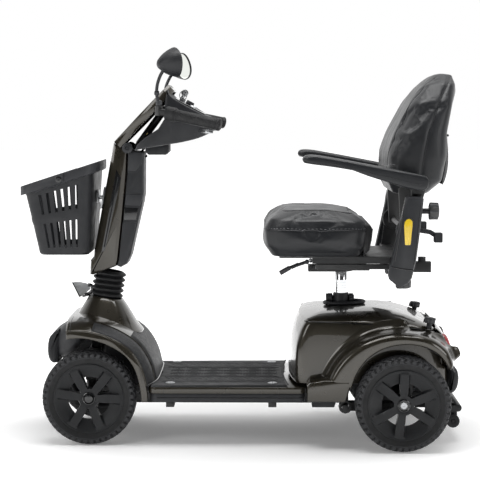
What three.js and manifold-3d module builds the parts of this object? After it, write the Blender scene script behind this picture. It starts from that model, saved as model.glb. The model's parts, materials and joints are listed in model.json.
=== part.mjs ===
// Mobility scooter, four wheels, built as an assembly of separate parts.
// Millimetres, +Z up. The scooter faces -X, its left side is -Y, and it stands on z = 0.
import * as THREE from "three";
import { mergeVertices } from "three/addons/utils/BufferGeometryUtils.js";
import Module from "manifold-3d";

const wasm = await Module();
wasm.setup();

// ---- driving dimensions -------------------------------------------------------------------
const GAP = 0.5; // clearance between parts that touch
const WHEEL_RADIUS = 140;
const RIM_RADIUS = 104;
const AXLE_HEIGHT = WHEEL_RADIUS;
const FRONT_AXLE_X = -452;
const REAR_AXLE_X = 468;
const FRONT_TYRE = { width: 75, centreY: 190 };
const REAR_TYRE = { width: 85, centreY: 282 };
const KINGPIN_Y = 140;
const STUB_RADIUS = 8;

const STEER_PIVOT = { x: -412, z: 460 }; // where the tiller folds on the column
const STEER_LEAN = THREE.MathUtils.degToRad(9);

const RAIL = { inner: 40, outer: 70, low: 100, high: 130 };
const SWING_PIVOT = { x: 305, z: 116, halfWidth: 236, radius: 10 };

const DECK = { front: -276, rear: 192, halfWidth: 230, low: 157, top: 175, corner: 24 };
const MAT_TOP = 182;
const TRIM = { low: 131, high: 155, halfWidth: 226 };

const POST = { x: 301, radius: 18.5, low: 330, top: 497 };
const SEAT_TUBE = { outer: 22, bore: 19.2, low: 250, top: 430 };

// ---- small geometry kit -------------------------------------------------------------------
const v3 = (x, y, z) => new THREE.Vector3(x, y, z);

// A closed three.js geometry as a manifold solid, for joining and cutting.
function solid(geometry) {
  const bare = geometry.index ? geometry.toNonIndexed() : geometry.clone();
  bare.deleteAttribute("normal");
  bare.deleteAttribute("uv");
  const welded = mergeVertices(bare, 1e-3);
  const index = welded.index.array;
  const triangles = [];
  for (let i = 0; i < index.length; i += 3) {
    const [a, b, c] = [index[i], index[i + 1], index[i + 2]];
    if (a !== b && b !== c && a !== c) triangles.push(a, b, c);
  }
  const mesh = new wasm.Mesh({
    numProp: 3,
    vertProperties: new Float32Array(welded.attributes.position.array),
    triVerts: new Uint32Array(triangles),
  });
  const made = new wasm.Manifold(mesh);
  if (made.volume() > 0) return made;
  for (let i = 0; i < triangles.length; i += 3) {
    [triangles[i + 1], triangles[i + 2]] = [triangles[i + 2], triangles[i + 1]];
  }
  mesh.triVerts = new Uint32Array(triangles);
  return new wasm.Manifold(mesh);
}

const join = (...parts) => parts.reduce((all, part) => all.add(part));
const cut = (body, ...tools) => tools.reduce((rest, tool) => rest.subtract(tool), body);

function box(x0, x1, y0, y1, z0, z1) {
  const geometry = new THREE.BoxGeometry(x1 - x0, y1 - y0, z1 - z0);
  geometry.translate((x0 + x1) / 2, (y0 + y1) / 2, (z0 + z1) / 2);
  return solid(geometry);
}

// The same box on both sides of the centre plane; y0 and y1 are distances from it.
const boxPair = (x0, x1, y0, y1, z0, z1) =>
  join(box(x0, x1, y0, y1, z0, z1), box(x0, x1, -y1, -y0, z0, z1));

// A straight round bar from a to b.
function rod(a, b, radius, sides = 12, endRadius = radius) {
  const along = v3(...b).sub(v3(...a));
  const geometry = new THREE.CylinderGeometry(endRadius, radius, along.length(), sides);
  geometry.translate(0, along.length() / 2, 0);
  geometry.applyQuaternion(new THREE.Quaternion().setFromUnitVectors(v3(0, 1, 0), along.normalize()));
  geometry.translate(...a);
  return solid(geometry);
}

const outline = (points) => new THREE.Shape(points.map(([a, b]) => new THREE.Vector2(a, b)));

// An XZ outline extruded across the scooter from y0 to y1, with its edges bevelled.
function sidePrism(points, y0, y1, bevel = 0) {
  const options = {
    depth: y1 - y0 - 2 * bevel,
    bevelEnabled: bevel > 0,
    bevelThickness: bevel,
    bevelSize: bevel,
    bevelOffset: -bevel,
    bevelSegments: 1,
  };
  const geometry = new THREE.ExtrudeGeometry(outline(points), options);
  geometry.rotateX(Math.PI / 2);
  geometry.translate(0, y1 - bevel, 0);
  return solid(geometry);
}

// An XY outline extruded upwards from z0 to z1.
function planPrism(shape, z0, z1) {
  const geometry = new THREE.ExtrudeGeometry(shape, { depth: z1 - z0, bevelEnabled: false });
  geometry.translate(0, 0, z0);
  return solid(geometry);
}

function roundedRectangle(x0, x1, halfWidth, radius, segments = 4) {
  const shape = new THREE.Shape();
  shape.absarc(x1 - radius, halfWidth - radius, radius, 0, Math.PI / 2);
  shape.absarc(x0 + radius, halfWidth - radius, radius, Math.PI / 2, Math.PI);
  shape.absarc(x0 + radius, radius - halfWidth, radius, Math.PI, 1.5 * Math.PI);
  shape.absarc(x1 - radius, radius - halfWidth, radius, 1.5 * Math.PI, 2 * Math.PI);
  return new THREE.Shape(shape.getPoints(segments));
}

// A closed skin through rings of points: every ring has the same count, and the ends are capped.
function loft(rings) {
  const count = rings[0].length;
  const positions = [];
  const triangle = (a, b, c) => positions.push(...a, ...b, ...c);
  for (let r = 0; r + 1 < rings.length; r += 1) {
    for (let i = 0; i < count; i += 1) {
      const j = (i + 1) % count;
      triangle(rings[r][i], rings[r][j], rings[r + 1][j]);
      triangle(rings[r][i], rings[r + 1][j], rings[r + 1][i]);
    }
  }
  const [first, last] = [rings[0], rings[rings.length - 1]];
  for (let i = 1; i + 1 < count; i += 1) {
    triangle(first[0], first[i + 1], first[i]);
    triangle(last[0], last[i], last[i + 1]);
  }
  const geometry = new THREE.BufferGeometry();
  geometry.setAttribute("position", new THREE.Float32BufferAttribute(positions, 3));
  return solid(geometry);
}

// A rounded rectangle ring in XY; z may be a number or a function of x.
function ring(x0, x1, halfWidth, z, radius, perCorner = 4) {
  const corners = [[x1, 1, 0], [x0, 1, 1], [x0, -1, 2], [x1, -1, 3]];
  const points = [];
  for (const [x, side, quarter] of corners) {
    const centreX = x === x1 ? x1 - radius : x0 + radius;
    const centreY = side * (halfWidth - radius);
    for (let i = 0; i <= perCorner; i += 1) {
      const angle = (quarter + i / perCorner) * (Math.PI / 2);
      const px = centreX + radius * Math.cos(angle);
      const py = centreY + radius * Math.sin(angle);
      points.push([px, py, typeof z === "function" ? z(px) : z]);
    }
  }
  return points;
}

// A profile of [radius, distance] pairs turned about an axis that starts at origin.
function turned(profile, origin, direction, segments = 24, phase = 0) {
  const points = profile.map(([r, d]) => new THREE.Vector2(r, d));
  const geometry = new THREE.LatheGeometry(points, segments, phase, 2 * Math.PI);
  const axis = v3(...direction).normalize();
  geometry.applyQuaternion(new THREE.Quaternion().setFromUnitVectors(v3(0, 1, 0), axis));
  geometry.translate(...origin);
  return solid(geometry);
}

const steerAxis = [Math.sin(STEER_LEAN), 0, Math.cos(STEER_LEAN)];
const onSteerAxis = (distance) => [
  STEER_PIVOT.x + distance * steerAxis[0],
  0,
  STEER_PIVOT.z + distance * steerAxis[2],
];

// ---- finishes -----------------------------------------------------------------------------
const finish = (color, roughness, metalness = 0) => ({ color, roughness, metalness });
const FINISHES = {
  olive: finish(0x3b372d, 0.28, 0.45),
  blackPlastic: finish(0x26282b, 0.55),
  glossBlack: finish(0x17181a, 0.25),
  frameBlack: finish(0x1d1e20, 0.5, 0.3),
  rubber: finish(0x1b1b1c, 0.85),
  vinyl: finish(0x2b2e33, 0.5),
  chrome: finish(0xc9ccd0, 0.12, 1),
  zinc: finish(0x9a9da1, 0.35, 0.9),
  alloy: finish(0x33352f, 0.35, 0.4),
  red: finish(0x9c1218, 0.2),
  lens: finish(0xd5d8da, 0.1, 0.3),
};

const scooter = new THREE.Group();
scooter.name = "mobility_scooter";

function addNode(name, body, finishName, parent = scooter) {
  const made = body.getMesh();
  const geometry = new THREE.BufferGeometry();
  geometry.setAttribute("position", new THREE.BufferAttribute(new Float32Array(made.vertProperties), 3));
  geometry.setIndex(new THREE.BufferAttribute(new Uint32Array(made.triVerts), 1));
  geometry.computeVertexNormals();
  const mesh = new THREE.Mesh(geometry, new THREE.MeshStandardMaterial(FINISHES[finishName]));
  mesh.name = name;
  parent.add(mesh);
  return mesh;
}

// A group on each side of the scooter; the right one is the left one mirrored in the centre plane.
function addSidePair(build) {
  for (const [side, mirror] of [["left", 1], ["right", -1]]) {
    const group = new THREE.Group();
    group.scale.y = mirror;
    scooter.add(group);
    build(side, group);
  }
}

// ---- main frame ---------------------------------------------------------------------------
function mainFrame() {
  const rails = boxPair(FRONT_AXLE_X - 18, 322, RAIL.inner, RAIL.outer, RAIL.low, RAIL.high);
  const uprights = boxPair(240, 270, RAIL.inner, RAIL.outer, RAIL.low, 240);
  const upperRails = boxPair(240, 585, RAIL.inner, RAIL.outer, 210, 240);
  const seatBridge = box(276, 326, -RAIL.outer, RAIL.outer, 216, 262);
  const rearBridge = box(560, 585, -150, 150, 210, 240);
  const floorBars = join(...[-213, 90].map((x) => box(x - 12, x + 12, -205, 205, 112, 128)));
  const axleBeam = box(FRONT_AXLE_X - 18, FRONT_AXLE_X + 18, -117, 117, 125, 164);
  // The webs stop short of the kingpin line, which leaves the steering arms room to swing inwards.
  const yokeWebs = boxPair(FRONT_AXLE_X - 16, FRONT_AXLE_X - 3, 112, 119, 97, 192);
  const yokePlates = join(...[[97, 104], [185, 192]].map(([low, high]) =>
    boxPair(FRONT_AXLE_X - 16, FRONT_AXLE_X + 16, 112, KINGPIN_Y + 15, low, high)));
  const pinHoles = join(...[-1, 1].map((side) =>
    rod([FRONT_AXLE_X, side * KINGPIN_Y, 90], [FRONT_AXLE_X, side * KINGPIN_Y, 200], 8.8, 12)));
  const neckPlates = boxPair(FRONT_AXLE_X - 18, FRONT_AXLE_X + 20, 36, 42, 150, 262);
  const neckBridge = box(FRONT_AXLE_X - 18, FRONT_AXLE_X + 20, -42, 42, 238, 262);
  const headTube = rod(onSteerAxis(-222), onSteerAxis(-72), 24, 14);
  const headBore = rod(onSteerAxis(-260), onSteerAxis(-50), 17, 14);
  const { x: pivotX, z: pivotZ, halfWidth, radius } = SWING_PIVOT;
  const swingTube = rod([pivotX, -halfWidth, pivotZ], [pivotX, halfWidth, pivotZ], radius, 12);
  const whole = join(
    rails, uprights, upperRails, seatBridge, rearBridge, floorBars, axleBeam, yokeWebs, yokePlates,
    neckPlates, neckBridge, headTube, swingTube,
  );
  const seatTubeSeat = rod([POST.x, 0, SEAT_TUBE.low - 2], [POST.x, 0, 300], SEAT_TUBE.outer + 1, 18);
  return cut(whole, headBore, pinHoles, seatTubeSeat);
}
addNode("main_frame", mainFrame(), "frameBlack");

function seatTube() {
  const { outer, bore, low, top } = SEAT_TUBE;
  const tube = rod([POST.x, 0, low], [POST.x, 0, top], outer, 18);
  const knobs = join(
    rod([POST.x, 0, 414], [POST.x - 36, 0, 414], 7, 12),
    rod([POST.x - 30, 0, 414], [POST.x - 46, 0, 414], 13, 16),
    rod([POST.x, 0, 414], [POST.x + 34, 0, 414], 6, 12),
  );
  return cut(join(tube, knobs), rod([POST.x, 0, 300], [POST.x, 0, top + 5], bore + 0.3, 18));
}
addNode("seat_tube", seatTube(), "frameBlack");

function batteryPack() {
  const [front, rear, low, high] = [345, 445, 212, 346];
  const batteries = boxPair(front, rear, RAIL.outer + GAP, 200, low, high);
  const strap = box(front + 15, rear - 15, -200, 200, high - 1, high + 3);
  return join(batteries, strap);
}
addNode("battery_pack", batteryPack(), "blackPlastic");

// ---- wheels -------------------------------------------------------------------------------
const TYRE_SEGMENTS = 28;
// A flat of the many-sided tyre, and not one of its corners, rests on the ground.
const TYRE_CORNER = WHEEL_RADIUS / Math.cos(Math.PI / TYRE_SEGMENTS);

function tyre(width) {
  const half = width / 2;
  const bead = RIM_RADIUS + 0.5;
  const profile = [
    [bead, half - 7],
    [bead, 7 - half],
    [122, -half],
    [TYRE_CORNER, 13 - half],
    [TYRE_CORNER, half - 13],
    [122, half],
    [bead, half - 7],
  ];
  return turned(profile, [0, 0, 0], [0, -1, 0], TYRE_SEGMENTS, Math.PI / TYRE_SEGMENTS);
}

// A rim with six windows, wide and narrow ones in turn. Its outer face looks along -Y, and the stub
// axle enters from +Y.
function rim(width, hubInner) {
  const half = width / 2;
  const face = new THREE.Shape().absarc(0, 0, 97, 0, 2 * Math.PI);
  for (let i = 0; i < 6; i += 1) {
    const middle = Math.PI * (115 / 180 + i / 3);
    const halfAngle = i % 2 ? 0.38 : 0.24;
    const at = (radius, angle) => [radius * Math.cos(middle + angle), radius * Math.sin(middle + angle)];
    const rootAngle = 0.7 * halfAngle;
    const corners = [at(38, -rootAngle), at(66, -halfAngle), at(69, 0), at(66, halfAngle), at(38, rootAngle)];
    face.holes.push(new THREE.Path(corners.map(([x, y]) => new THREE.Vector2(x, y))));
  }
  const disc = new THREE.ExtrudeGeometry(face, { depth: 22, bevelEnabled: false, curveSegments: 14 });
  disc.rotateX(Math.PI / 2);
  disc.translate(0, 30 - half, 0);
  const edge = half - 9;
  const barrelProfile = [[92, -edge], [RIM_RADIUS, -edge], [RIM_RADIUS, edge], [92, edge], [92, -edge]];
  const barrel = turned(barrelProfile, [0, 0, 0], [0, 1, 0], TYRE_SEGMENTS, Math.PI / TYRE_SEGMENTS);
  const hub = rod([0, hubInner, 0], [0, 3 - half, 0], 24, 14);
  const bore = rod([0, hubInner + 5, 0], [0, 20 - half, 0], STUB_RADIUS + 0.8, 12);
  return cut(join(solid(disc), barrel, hub), bore);
}

function addWheel(prefix, side, group, size, axleX, hubInner) {
  const wheel = new THREE.Group();
  wheel.position.set(axleX, -size.centreY, AXLE_HEIGHT);
  group.add(wheel);
  addNode(`${prefix}_tyre_${side}`, tyre(size.width), "rubber", wheel);
  addNode(`${prefix}_rim_${side}`, rim(size.width, hubInner), "alloy", wheel);
}
addSidePair((side, group) => {
  addWheel("front", side, group, FRONT_TYRE, FRONT_AXLE_X, 28);
  addWheel("rear", side, group, REAR_TYRE, REAR_AXLE_X, 38);
});

// ---- steering -----------------------------------------------------------------------------
const PITMAN_LENGTH = 62;
const PITMAN_DROP = -286; // along the steering axis, below the tiller pivot
const ARM_END = { x: FRONT_AXLE_X + 66, y: 130 };
const TIE_ROD_Z = 205;

function steeringColumn() {
  const shaft = rod(onSteerAxis(PITMAN_DROP), onSteerAxis(-8), 14, 16);
  const collar = rod(onSteerAxis(-66), onSteerAxis(-40), 26, 20);
  const [x, , z] = onSteerAxis(PITMAN_DROP);
  const pitman = join(
    rod(onSteerAxis(PITMAN_DROP - 4), onSteerAxis(PITMAN_DROP + 8), 19, 16),
    box(x, x + PITMAN_LENGTH + 12, -11, 11, z - 1, z + 8),
  );
  const [pivotX, , pivotZ] = onSteerAxis(0);
  const fork = join(
    box(pivotX - 14, pivotX + 14, 20, 26, pivotZ - 34, pivotZ + 12),
    box(pivotX - 14, pivotX + 14, -26, -20, pivotZ - 34, pivotZ + 12),
    box(pivotX - 22, pivotX + 14, -26, 26, pivotZ - 40, pivotZ - 24),
  );
  return join(shaft.subtract(rod(onSteerAxis(-24), onSteerAxis(10), 16, 16)), collar, pitman, fork);
}
addNode("steering_column", steeringColumn(), "frameBlack");

function knuckle() {
  const y = -KINGPIN_Y;
  const block = rod([FRONT_AXLE_X, y, 106], [FRONT_AXLE_X, y, 183], 15, 16);
  const pin = rod([FRONT_AXLE_X, y, 96], [FRONT_AXLE_X, y, 198], 7.5, 16);
  const stub = rod([FRONT_AXLE_X, y, AXLE_HEIGHT], [FRONT_AXLE_X, -206, AXLE_HEIGHT], STUB_RADIUS, 16);
  const arm = box(FRONT_AXLE_X, ARM_END.x + 10, y - 2, y + 18, 168, 178);
  return join(block, pin, stub, arm);
}
function tieRod() {
  const [x] = onSteerAxis(PITMAN_DROP);
  const innerX = x + PITMAN_LENGTH;
  const bar = rod([innerX, -8, TIE_ROD_Z - 7], [ARM_END.x, -ARM_END.y, TIE_ROD_Z - 17], 5, 12);
  const innerEye = rod([innerX, -8, TIE_ROD_Z - 13], [innerX, -8, TIE_ROD_Z - 1], 7, 12);
  const { x: outerX, y: outerY } = ARM_END;
  const outerEye = rod([outerX, -outerY, TIE_ROD_Z - 24], [outerX, -outerY, TIE_ROD_Z - 10], 8, 12);
  return join(bar, innerEye, outerEye);
}
addSidePair((side, group) => {
  addNode(`knuckle_${side}`, knuckle(), "frameBlack", group);
  addNode(`tie_rod_${side}`, tieRod(), "zinc", group);
});

// ---- rear axle, motor and anti-tip gear ---------------------------------------------------
function rearAxle() {
  const axle = rod([REAR_AXLE_X, -228, AXLE_HEIGHT], [REAR_AXLE_X, 228, AXLE_HEIGHT], 22, 14);
  const stubs = rod([REAR_AXLE_X, -300, AXLE_HEIGHT], [REAR_AXLE_X, 300, AXLE_HEIGHT], STUB_RADIUS, 12);
  const gearbox = rod([REAR_AXLE_X, -46, AXLE_HEIGHT], [REAR_AXLE_X, 46, AXLE_HEIGHT], 52, 18);
  const bracket = boxPair(REAR_AXLE_X - 15, REAR_AXLE_X + 40, 86, 94, 90, 150);
  const arms = boxPair(SWING_PIVOT.x, REAR_AXLE_X, 204, 216, 104, 134);
  const { x, z, radius } = SWING_PIVOT;
  const ears = join(...[-1, 1].map((side) => rod([x, side * 202, z], [x, side * 218, z], 20, 12)));
  const bore = rod([x, -230, z], [x, 230, z], radius + 0.8, 12);
  return cut(join(axle, stubs, gearbox, bracket, arms, ears), bore);
}
addNode("rear_axle", rearAxle(), "frameBlack");

const MOTOR_Y = 47;
function driveMotor() {
  const body = rod([REAR_AXLE_X - 46, MOTOR_Y, 150], [REAR_AXLE_X - 46, 172, 150], 34, 16);
  const axleWay = rod([REAR_AXLE_X, MOTOR_Y - 5, AXLE_HEIGHT], [REAR_AXLE_X, 180, AXLE_HEIGHT], 23, 16);
  const bracketWay = boxPair(REAR_AXLE_X - 17, REAR_AXLE_X + 42, 85, 95, 88, 152);
  return cut(body, axleWay, bracketWay);
}
addNode("drive_motor", driveMotor(), "zinc");

const FREEWHEEL = { x: REAR_AXLE_X + 20, y: -78, z: 172 };
function freewheelLever() {
  const { x, y, z } = FREEWHEEL;
  const pivot = rod([x, y + 6, z], [x, y - 6, z], 9, 14);
  const arm = box(x, x + 46, y - 3, y + 3, z - 4, z + 4);
  const tip = rod([x + 40, y, z], [x + 54, y, z], 7, 10);
  return join(pivot, arm, tip);
}
addNode("freewheel_lever", freewheelLever(), "red");

const ANTI_TIP = { x: 630, z: 62, radius: 20, y: 150, width: 14 };
function antiTipBar() {
  const sides = boxPair(REAR_AXLE_X + 41, 648, 86, 98, 92, 106);
  const crossTube = rod([647, -138, 98], [647, 138, 98], 11, 12);
  const forks = boxPair(ANTI_TIP.x - 10, ANTI_TIP.x + 14, 132, 138, ANTI_TIP.z - 9, 104);
  const axles = rod([ANTI_TIP.x, -160, ANTI_TIP.z], [ANTI_TIP.x, 160, ANTI_TIP.z], 4, 12);
  const middle = rod([ANTI_TIP.x, -130, ANTI_TIP.z], [ANTI_TIP.x, 130, ANTI_TIP.z], 6, 12);
  return join(sides, crossTube, forks, cut(axles, middle));
}
addNode("anti_tip_bar", antiTipBar(), "frameBlack");

addSidePair((side, group) => {
  const { x, z, radius, y, width } = ANTI_TIP;
  const wheel = rod([x, -y + width / 2, z], [x, -y - width / 2, z], radius, 20);
  const bore = rod([x, -y + 20, z], [x, -y - 20, z], 4.6, 12);
  addNode(`anti_tip_wheel_${side}`, cut(wheel, bore), "rubber", group);
});

// ---- floor --------------------------------------------------------------------------------
function floorPan() {
  const outside = roundedRectangle(DECK.front, DECK.rear, DECK.halfWidth, DECK.corner);
  const inside = roundedRectangle(DECK.front + 5, DECK.rear - 5, DECK.halfWidth - 5, DECK.corner - 5);
  return cut(planPrism(outside, DECK.low, DECK.top), planPrism(inside, DECK.low - 1, DECK.top - 5));
}
addNode("floor_pan", floorPan(), "olive");

function deckTray() {
  const outside = roundedRectangle(DECK.front + 4, DECK.rear - 6, TRIM.halfWidth, 22);
  const inside = roundedRectangle(DECK.front + 9, DECK.rear - 11, TRIM.halfWidth - 5, 17);
  return cut(planPrism(outside, TRIM.low, TRIM.high), planPrism(inside, TRIM.low + 4, TRIM.high + 1));
}
addNode("deck_tray", deckTray(), "blackPlastic");

// The mat's front edge bulges to the rear and its rear edge curves round the seat base.
function floorMat() {
  const half = DECK.halfWidth - 3;
  const shape = new THREE.Shape();
  shape.moveTo(-268, -half);
  shape.quadraticCurveTo(-228, 0, -268, half);
  shape.lineTo(134, half);
  shape.quadraticCurveTo(108, 0, 134, -half);
  return planPrism(new THREE.Shape(shape.getPoints(8)), DECK.top + GAP, MAT_TOP);
}
addNode("floor_mat", floorMat(), "rubber");

// ---- front cover, bumper and headlight ----------------------------------------------------
const FENDER_OUTER = [
  [-518, 316], [-520, 352], [-480, 354], [-444, 338], [-380, 312], [-330, 284], [-306, 258], [-290, 214],
  [DECK.front - 3, 183], [DECK.front - 3, TRIM.low],
];
const FENDER_INNER = [[-289.5, TRIM.low], [-290.5, 170], [-307, 220], [-336, 256], [-388, 292], [-444, 311]];
const TOWER = { base: [-516, -322], baseHalf: 96, baseZ: 330, top: [-469, -366], topHalf: 52, topZ: 416 };

function frontCover() {
  const fender = sidePrism([...FENDER_OUTER, ...FENDER_INNER], -DECK.halfWidth + 2, DECK.halfWidth - 2, 4);
  const { base: [baseFront, baseRear], baseHalf, baseZ, top: [topFront, topRear], topHalf, topZ } = TOWER;
  const tower = (inset) => loft([
    ring(baseFront - 26 + inset, baseRear + 14 - inset, baseHalf + 30 - inset, 306 - inset, 40),
    ring(baseFront + inset, baseRear - inset, baseHalf - inset, baseZ + 18 - inset, 44),
    ring(baseFront + 26 + inset, baseRear - 24 - inset, baseHalf - 22 - inset, 378, 44),
    ring(topFront + inset, topRear - inset, topHalf - inset, topZ + inset, 36),
  ]);
  const nose = (inset) => loft([
    ring(-556 + inset, -300, 66 - inset, 232 - inset, 30, 2),
    ring(-556 + inset, -300, 72 - inset, 300, 30, 2),
    ring(-520 + inset, -300, 90 - inset, 342 - inset, 30, 2),
  ]);
  const shell = cut(join(fender, tower(0), nose(0)), tower(5), nose(5));
  return cut(shell, box(-548, -306, -60, 60, 225, 300));
}
addNode("front_cover", frontCover(), "olive");

function frontBumper() {
  const points = (inset) => [
    [-570 + inset, 316 - inset], [-588 + inset, 300], [-592 + inset, 250], [-580 + inset, 222 + inset],
    [-556.5, 222 + inset], [-556.5, 316 - inset],
  ];
  const hollow = join(sidePrism(points(6), -74, 74, 2), box(-570, -550, -66, 66, 236, 304));
  return cut(sidePrism(points(0), -82, 82, 8), hollow);
}
addNode("front_bumper", frontBumper(), "blackPlastic");

function headlight() {
  const shellProfile = [[0, 0], [17, 0], [24, 12], [26, 34], [24, 40], [0, 44]];
  const lamp = turned(shellProfile, [-474, 0, 446], [-1, 0, -0.22], 24);
  const stalk = box(-482, -470, -9, 9, 424, 446);
  const foot = box(-486, -470, -14, 14, 417.5, 425);
  return join(lamp, stalk, foot);
}
addNode("headlight", headlight(), "lens");

// ---- rear cover ---------------------------------------------------------------------------
// The hood at stations along X: [x, base half width, shoulder half width, shoulder z, crown z].
const HOOD = [
  [150, 205, 198, 300, 318],
  [178, 214, 206, 350, 372],
  [215, 219, 212, 366, 389],
  [400, 226, 220, 358, 399],
  [523, 232, 228, 345, 388],
  [572, 232, 228, 350, 372],
  [606, 226, 214, 262, 276],
];
const HOOD_BASE_Z = 186;

function hoodRing([x, base, shoulder, shoulderZ, crownZ], inset) {
  const half = [
    [base - inset, HOOD_BASE_Z - inset],
    [base - inset, HOOD_BASE_Z + 22],
    [shoulder - inset, shoulderZ - 14],
    [shoulder - 12 - inset, shoulderZ - inset],
    [shoulder * 0.72, (shoulderZ + 3 * crownZ) / 4 - inset],
    [0, crownZ - inset],
  ];
  const mirrored = half.slice(0, -1).reverse().map(([y, z]) => [-y, z]);
  return [...half, ...mirrored].map(([y, z]) => [x, y, z]);
}

const ARCH_OUTER = [
  [246, 190], [262, 232], [300, 276], [352, 308], [420, 330], [490, 341], [556, 332], [604, 296], [612, 244],
];
const ARCH_INNER = [
  [598, 240], [572, 282], [530, 304], [457, 310], [400, 292], [356, 258], [330, 214], [322, 190],
];
const ARCH_HALF_WIDTH = 290;

function rearCover() {
  const hoodOutside = loft(HOOD.map((station) => hoodRing(station, 0)));
  const inner = HOOD.map((station) => [...station]);
  inner[0][0] += 6;
  inner[inner.length - 1][0] -= 6;
  const hoodInside = loft(inner.map((station) => hoodRing(station, 6)));
  const arches = [-1, 1].map((side) => {
    const [y0, y1] = side < 0 ? [-ARCH_HALF_WIDTH, -222] : [222, ARCH_HALF_WIDTH];
    return sidePrism([...ARCH_OUTER, ...ARCH_INNER], y0, y1, 4);
  });
  const skirts = [-1, 1].map((side) => {
    const [y0, y1] = side < 0 ? [-ARCH_HALF_WIDTH, -222] : [222, ARCH_HALF_WIDTH];
    return sidePrism([[196, 144], [301, 144], [312, 196], [196, 196]], y0, y1, 4);
  });
  const skirtHollows = boxPair(202, 296, 232, 284, 143, 186);
  const shell = cut(join(hoodOutside, ...arches, ...skirts), hoodInside, skirtHollows);
  const seatHole = rod([POST.x, 0, 370], [POST.x, 0, 410], 58, 18);
  const deckNotch = box(140, DECK.rear + 1, -DECK.halfWidth - 1, DECK.halfWidth + 1, 140, 184);
  return cut(shell, seatHole, deckNotch);
}
addNode("rear_cover", rearCover(), "olive");

function rearBumper() {
  const points = (inset) => [
    [610, 226 - inset], [636 - inset, 220 - inset], [641 - inset, 190],
    [632 - inset, 158 + inset], [610, 153 + inset],
  ];
  const inner = points(7).map(([x, z]) => [x - 4, z]);
  return cut(sidePrism(points(0), -186, 186, 6), sidePrism(inner, -176, 176));
}
addNode("rear_bumper", rearBumper(), "blackPlastic");

addSidePair((side, group) => {
  const outlinePoints = [[586.5, 340], [596, 332], [619, 276], [616, 268], [608.5, 268]];
  addNode(`tail_light_${side}`, sidePrism(outlinePoints, -222, -150, 3), "red", group);
});

// ---- tiller -------------------------------------------------------------------------------
const TILLER_HALF = 62;

// Rubber gaiter round the foot of the tiller, a stack of pleats open through the middle.
function bellows() {
  const profile = [];
  const [low, high, pleats] = [-40, 12, 4];
  for (let i = 0; i <= 2 * pleats; i += 1) {
    profile.push([i % 2 ? 49 : 42, low + ((high - low) * i) / (2 * pleats)]);
  }
  profile.push([34, high], [34, low], profile[0]);
  return turned(profile, onSteerAxis(0), steerAxis, 16);
}
addNode("bellows", bellows(), "rubber");

function tillerFrontShell() {
  const outer = [
    [-390, 884], [-453, 542], [-463, 532], [-464, 487],
    [-383, 516], [-378, 536], [-365, 651], [-351, 795], [-348, 858],
  ];
  const inner = [
    [-384, 880], [-448, 541], [-458, 530], [-458, 470], [-340, 500], [-330, 651], [-320, 795], [-320, 890],
  ];
  const hollow = sidePrism(inner, 5 - TILLER_HALF, TILLER_HALF - 5);
  const shell = cut(sidePrism(outer, -TILLER_HALF, TILLER_HALF, 7), hollow);
  const lug = join(
    rod([STEER_PIVOT.x, -18, STEER_PIVOT.z], [STEER_PIVOT.x, 18, STEER_PIVOT.z], 13, 16),
    box(STEER_PIVOT.x - 13, STEER_PIVOT.x + 13, -17, 17, STEER_PIVOT.z, 560),
    box(-447, STEER_PIVOT.x, -5, 5, 530, 560),
  );
  const ribs = join(...[600, 700, 800].map((z) => {
    const frontX = -388 - ((891 - z) * 65) / 349;
    return box(frontX + 3, frontX + 26, 4 - TILLER_HALF, TILLER_HALF - 4, z, z + 4);
  }));
  return join(shell, lug, ribs);
}
addNode("tiller_front_shell", tillerFrontShell(), "olive");

function tillerRearShell() {
  const outer = [
    [-346, 866], [-350, 795], [-364, 651], [-377, 536], [-382, 517], [-370, 512], [-350, 523], [-341, 545],
    [-314, 665], [-301, 722], [-299, 732], [-298, 861],
  ];
  const inner = [
    [-380, 860], [-400, 540], [-392, 524], [-352, 530], [-346, 547],
    [-320, 667], [-307, 724], [-304, 733], [-304, 855],
  ];
  const half = TILLER_HALF - 5;
  return cut(sidePrism(outer, -half, half, 7), sidePrism(inner, 5 - half, half - 5));
}
addNode("tiller_rear_shell", tillerRearShell(), "blackPlastic");

// The head panel is laid out in its own plane: u runs up the slope, y across, w into the head.
const HEAD = { low: [-387.5, 892], top: [-222, 1063], thickness: 26, lowHalf: 62, topHalf: 104 };
function headPanel() {
  const [run, rise] = [HEAD.top[0] - HEAD.low[0], HEAD.top[1] - HEAD.low[1]];
  const length = Math.hypot(run, rise);
  const plate = (inset, from, to) => {
    const [low, top, corner] = [HEAD.lowHalf - inset, HEAD.topHalf - inset, 26];
    const half = [[inset, low], [length * 0.45, top - 4], [length - 22, top], [length - inset, top - corner]];
    const mirrored = half.map(([u, y]) => [u, -y]);
    const shape = outline([...mirrored, ...half.reverse()]);
    const geometry = new THREE.ExtrudeGeometry(shape, { depth: to - from, bevelEnabled: false });
    geometry.translate(0, 0, -to);
    geometry.rotateY(-Math.atan2(rise, run));
    geometry.translate(HEAD.low[0], 0, HEAD.low[1]);
    return solid(geometry);
  };
  return cut(plate(0, 0, HEAD.thickness), plate(5, 5, HEAD.thickness + 1));
}
addNode("head_panel", headPanel(), "olive");

const BAR = { x: -243, z: 984, halfWidth: 190, radius: 11, end: [-63, -262, 946] };
const DASH_TOP = [[-196, 1016], [-158, 995], [-101, 967]];
const DASH_HALF = 100;
const LEVER_Z = 926;

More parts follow.
